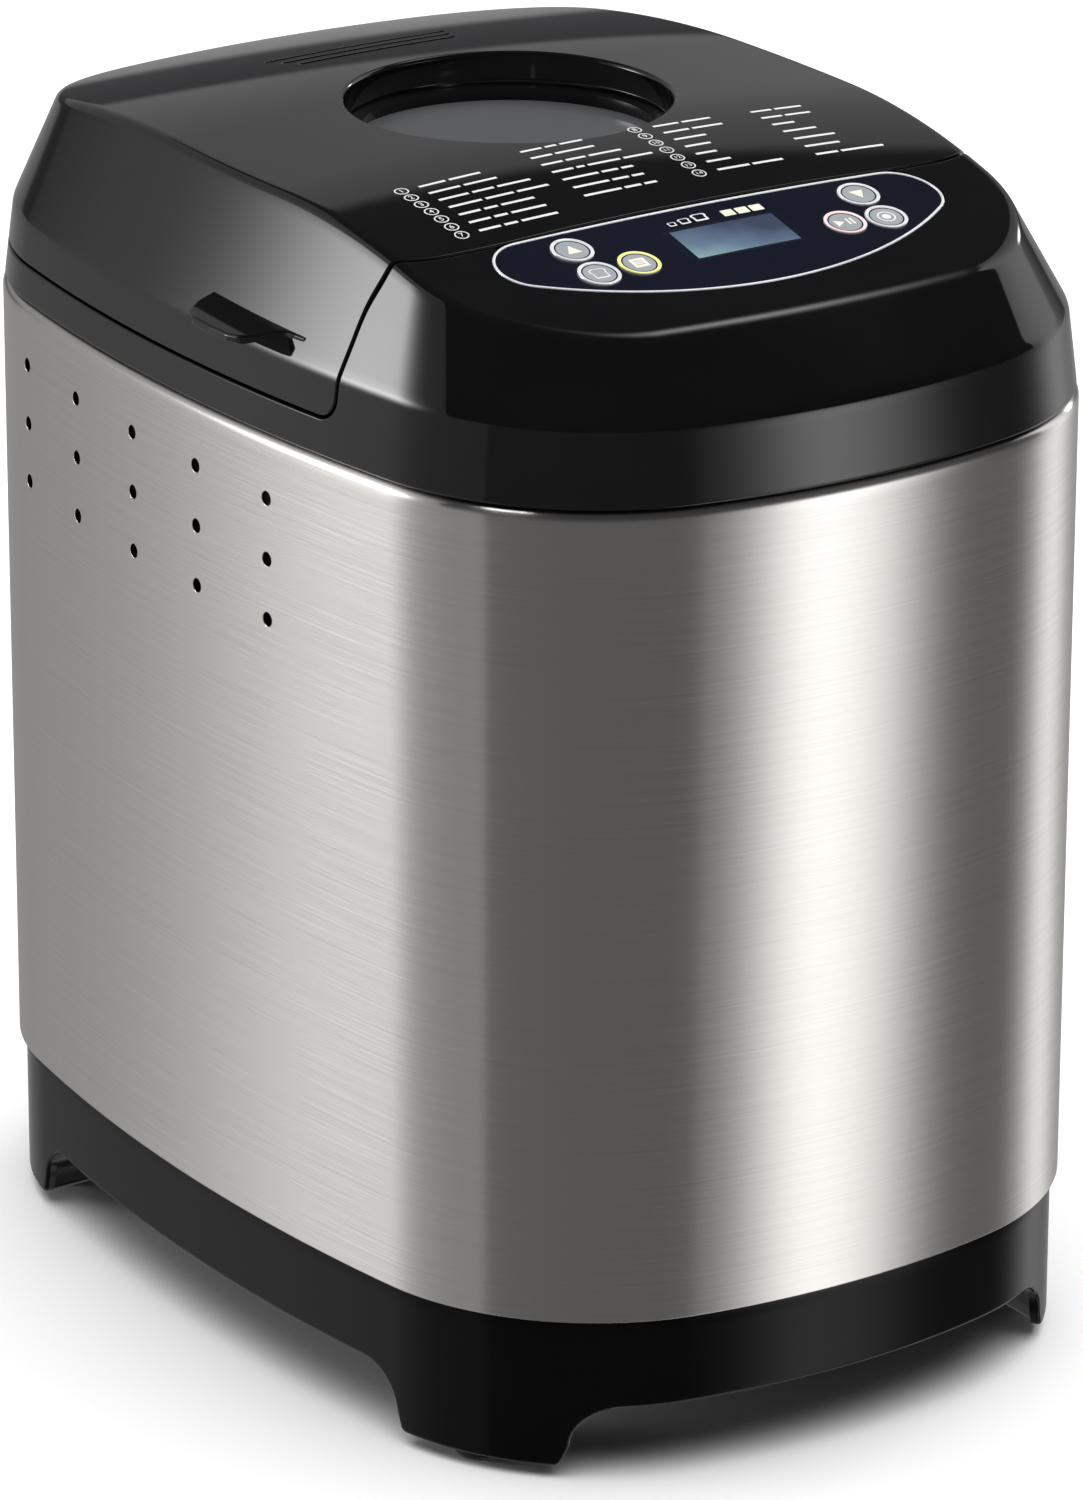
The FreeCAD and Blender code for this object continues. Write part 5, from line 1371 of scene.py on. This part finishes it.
solid_sheet("lid_numbers", np.array(numP), numF, put_lid, MATS["ink_white"], "lid", 0.035)
decal("lid_list_bars", bars, put_lid, MATS["ink_white"], "lid")

# ---------------------------------------------------------------- carried-over pieces take their slot's finish
slots = {s["node"]: s["material_slot"] for s in frame["record"]["subparts"]}
for n, o in NODES.items():
    if o.hide_render:
        continue
    m = MATS[slots[n]]
    o.data.materials.clear()
    o.data.materials.append(m)

# ---------------------------------------------------------------- camera
back = Vector((-0.5149, -0.7809, 0.3536)).normalized()
cam_d = bpy.data.cameras.new("camera")
cam_d.sensor_width = 36.0
cam_d.sensor_fit = "AUTO"
cam_d.lens = 7897.9 / 1500.0 * 36.0
cam_d.shift_x = (541.5 - 484.4) / 1500.0
cam_d.shift_y = -(750.0 - 746.9) / 1500.0
cam_d.clip_start = 0.05
cam_d.clip_end = 60.0
cam = bpy.data.objects.new("camera", cam_d)
cam.location = Vector((-1.1142, -1.6681, 0.9036))
cam.rotation_mode = "QUATERNION"
cam.rotation_quaternion = (-back).to_track_quat("-Z", "Y")
bpy.context.scene.collection.objects.link(cam)
bpy.context.scene.camera = cam

# ---------------------------------------------------------------- floor
fm, nt, b = new_material("floor_pale")
nt.links.new(ramp(nt, noise(nt, 1.2, 3.0), [(0.3, (0.83, 0.83, 0.83)), (0.7, (0.86, 0.86, 0.86))]), b.inputs["Base Color"])
b.inputs["Roughness"].default_value = 0.85
me = bpy.data.meshes.new("floor")
R, n = 9.0, 96
verts = [(R * math.cos(2 * math.pi * i / n), R * math.sin(2 * math.pi * i / n), -0.0002) for i in range(n)]
me.from_pydata(verts, [], [tuple(range(n))])
me.materials.append(fm)
floor = bpy.data.objects.new("floor", me)
bpy.context.scene.collection.objects.link(floor)
floor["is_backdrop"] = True

# ---------------------------------------------------------------- light
# a dark studio: a grey backdrop behind, a large soft box at the left rear, a strip at the front right and one at the right
scene = bpy.context.scene
scene.view_settings.view_transform = "Standard"
world = bpy.data.worlds.new("studio")
scene.world = world
world.use_nodes = True
wn = world.node_tree
bg = next(n for n in wn.nodes if n.type == "BACKGROUND")
out_w = next(n for n in wn.nodes if n.type == "OUTPUT_WORLD")
sep = node(wn, "ShaderNodeSeparateXYZ")
wn.links.new(node(wn, "ShaderNodeTexCoord").outputs["Generated"], sep.inputs[0])


def math_node(nt, op, a, b=None):
    m = node(nt, "ShaderNodeMath", operation=op)
    for i, q in enumerate((a, b)):
        if q is None:
            continue
        if isinstance(q, (int, float)):
            m.inputs[i].default_value = q
        else:
            nt.links.new(q, m.inputs[i])
    return m.outputs[0]


def azimuth_ramp(nt, fac, stops, mode="EASE"):
    # stops: (degrees from straight ahead of the front, turning to the left; level)
    r = node(nt, "ShaderNodeValToRGB")
    r.color_ramp.interpolation = mode
    e = r.color_ramp.elements
    while len(e) < len(stops):
        e.new(0.5)
    for i, (deg, level) in enumerate(stops):
        e[i].position = (deg + 180.0) / 360.0
        c = (level, level, level) if isinstance(level, (int, float)) else level
        e[i].color = (*c, 1.0)
    nt.links.new(fac, r.inputs["Fac"])
    return r.outputs["Color"]


az = math_node(wn, "ARCTAN2", math_node(wn, "MULTIPLY", sep.outputs["X"], -1.0), math_node(wn, "MULTIPLY", sep.outputs["Y"], -1.0))
az = to_range(wn, az, 0.0, 1.0, -math.pi, math.pi)
el = math_node(wn, "MULTIPLY", math_node(wn, "ARCSINE", sep.outputs["Z"]), 180.0 / math.pi)
az_deg = to_range(wn, az, -180.0, 180.0)


def strip(deg, wide, level):
    p = math_node(wn, "DIVIDE", math_node(wn, "SUBTRACT", az_deg, deg), wide)
    return math_node(wn, "MULTIPLY", math_node(wn, "EXPONENT", math_node(wn, "MULTIPLY", math_node(wn, "MULTIPLY", p, p), -0.5)), level)


# dark room in front, grey backdrop behind
levels = azimuth_ramp(wn, az, [(-180, 0.36), (-105, 0.34), (-80, 0.13), (79, 0.16), (80.5, 0.33), (180, 0.36)], "LINEAR")
# upright light boxes: right, front right, left rear
boxes = strip(-94.0, 11.0, 0.9)
for box in ((-27.0, 6.0, 1.25), (-38.0, 6.0, 0.85), (134.0, 13.0, 0.36)):
    boxes = math_node(wn, "ADD", boxes, strip(*box))
lit = node(wn, "ShaderNodeVectorMath", operation="ADD")
wn.links.new(levels, lit.inputs[0])
wn.links.new(boxes, lit.inputs[1])
levels = lit.outputs[0]
cut = azimuth_ramp(wn, az, [(-180, 0.5), (-171, 0.32), (-125, 0.32), (-112, 0.45), (-92, 0.45), (-80, 0.08), (98, 0.08), (110, 0.5), (180, 0.5)], "LINEAR")
cut = math_node(wn, "MULTIPLY", cut, 90.0)
above = node(wn, "ShaderNodeMapRange", interpolation_type="SMOOTHSTEP")
wn.links.new(math_node(wn, "SUBTRACT", el, cut), above.inputs["Value"])
above.inputs["From Min"].default_value = 0.0
above.inputs["From Max"].default_value = 3.0
mix = node(wn, "ShaderNodeMix", data_type="RGBA")
wn.links.new(above.outputs["Result"], mix.inputs["Factor"])
wn.links.new(levels, mix.inputs["A"])
mix.inputs["B"].default_value = (0.05, 0.05, 0.052, 1)
# dark gap between the table and the backdrop
gap = azimuth_ramp(wn, az, [(-180, 1.0), (-118, 1.0), (-100, 0.0), (156, 0.0), (168, 1.0), (180, 1.0)], "LINEAR")
low = node(wn, "ShaderNodeMapRange", interpolation_type="SMOOTHSTEP")
wn.links.new(el, low.inputs["Value"])
low.inputs["From Min"].default_value = -4.0
low.inputs["From Max"].default_value = -1.0
high_ = node(wn, "ShaderNodeMapRange", interpolation_type="SMOOTHSTEP")
wn.links.new(el, high_.inputs["Value"])
high_.inputs["From Min"].default_value = 9.0
high_.inputs["From Max"].default_value = 7.0
gap = math_node(wn, "MULTIPLY", gap, math_node(wn, "MULTIPLY", low.outputs["Result"], high_.outputs["Result"]))
mix2 = node(wn, "ShaderNodeMix", data_type="RGBA")
wn.links.new(gap, mix2.inputs["Factor"])
wn.links.new(mix.outputs["Result"], mix2.inputs["A"])
mix2.inputs["B"].default_value = (0.10, 0.10, 0.105, 1)
# soft box at the left rear, seen in the black flank
ga = math_node(wn, "DIVIDE", math_node(wn, "SUBTRACT", az_deg, 128.0), 7.0)
ge = math_node(wn, "DIVIDE", math_node(wn, "SUBTRACT", el, 11.0), 5.0)
g2 = math_node(wn, "ADD", math_node(wn, "MULTIPLY", ga, ga), math_node(wn, "MULTIPLY", ge, ge))
glow = math_node(wn, "EXPONENT", math_node(wn, "MULTIPLY", g2, -0.5))
glow = math_node(wn, "MULTIPLY", glow, 13.0)


def soft_spot(deg, elev, wide, tall, level):
    p = math_node(wn, "DIVIDE", math_node(wn, "SUBTRACT", az_deg, deg), wide)
    q = math_node(wn, "DIVIDE", math_node(wn, "SUBTRACT", el, elev), tall)
    d2 = math_node(wn, "ADD", math_node(wn, "MULTIPLY", p, p), math_node(wn, "MULTIPLY", q, q))
    return math_node(wn, "MULTIPLY", math_node(wn, "EXPONENT", math_node(wn, "MULTIPLY", d2, -0.5)), level)


# overhead soft box on the right, low front strip and a small lamp at the right
for spot in ((-106.0, 58.0, 12.0, 5.0, 3.4), (-28.0, -4.0, 9.0, 4.0, 1.6), (-112.0, 13.0, 1.7, 1.7, 26.0)):
    glow = math_node(wn, "ADD", glow, soft_spot(*spot))
total = node(wn, "ShaderNodeVectorMath", operation="ADD")
wn.links.new(mix2.outputs["Result"], total.inputs[0])
wn.links.new(glow, total.inputs[1])
wn.links.new(total.outputs[0], bg.inputs["Color"])
bg.inputs["Strength"].default_value = 1.0
pale = node(wn, "ShaderNodeBackground")
pale.inputs["Color"].default_value = (1, 1, 1, 1)
pale.inputs["Strength"].default_value = 1.0
pick = node(wn, "ShaderNodeMixShader")
wn.links.new(node(wn, "ShaderNodeLightPath").outputs["Is Camera Ray"], pick.inputs["Fac"])
wn.links.new(bg.outputs[0], pick.inputs[1])
wn.links.new(pale.outputs[0], pick.inputs[2])
wn.links.new(pick.outputs[0], out_w.inputs["Surface"])


def area(name, loc, target, size, power, size_y=None, mirrored=True):
    d = bpy.data.lights.new(name, "AREA")
    d.energy = power
    d.size = size
    if size_y:
        d.shape = "RECTANGLE"
        d.size_y = size_y
    o = bpy.data.objects.new(name, d)
    o.location = loc
    o.rotation_mode = "QUATERNION"
    o.rotation_quaternion = (Vector(target) - Vector(loc)).to_track_quat("-Z", "Y")
    o.visible_glossy = mirrored
    scene.collection.objects.link(o)
    return o


def bearing(deg, elev, dist, centre=(0.0, 0.0, 0.3)):
    a, e = math.radians(deg), math.radians(elev)
    return (centre[0] - math.sin(a) * math.cos(e) * dist, centre[1] - math.cos(a) * math.cos(e) * dist, centre[2] + math.sin(e) * dist)


# wide overhead light for the floor, kept out of the reflections
area("overhead", (0.1, -0.1, 3.0), (0, 0, 0), 4.8, 245, 4.8, False)
# light from the left rear for the rolled upper edge of the steel
steels = bpy.data.collections.new("steel_sheet")
steels.objects.link(wrap_o)
rim = area("rim_light", bearing(140, 72, 2.4), (0, 0, 0.3), 1.8, 14, 0.5)
rim.light_linking.receiver_collection = steels
floor.visible_glossy = False

# ---------------------------------------------------------------- sizes
low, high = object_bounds()
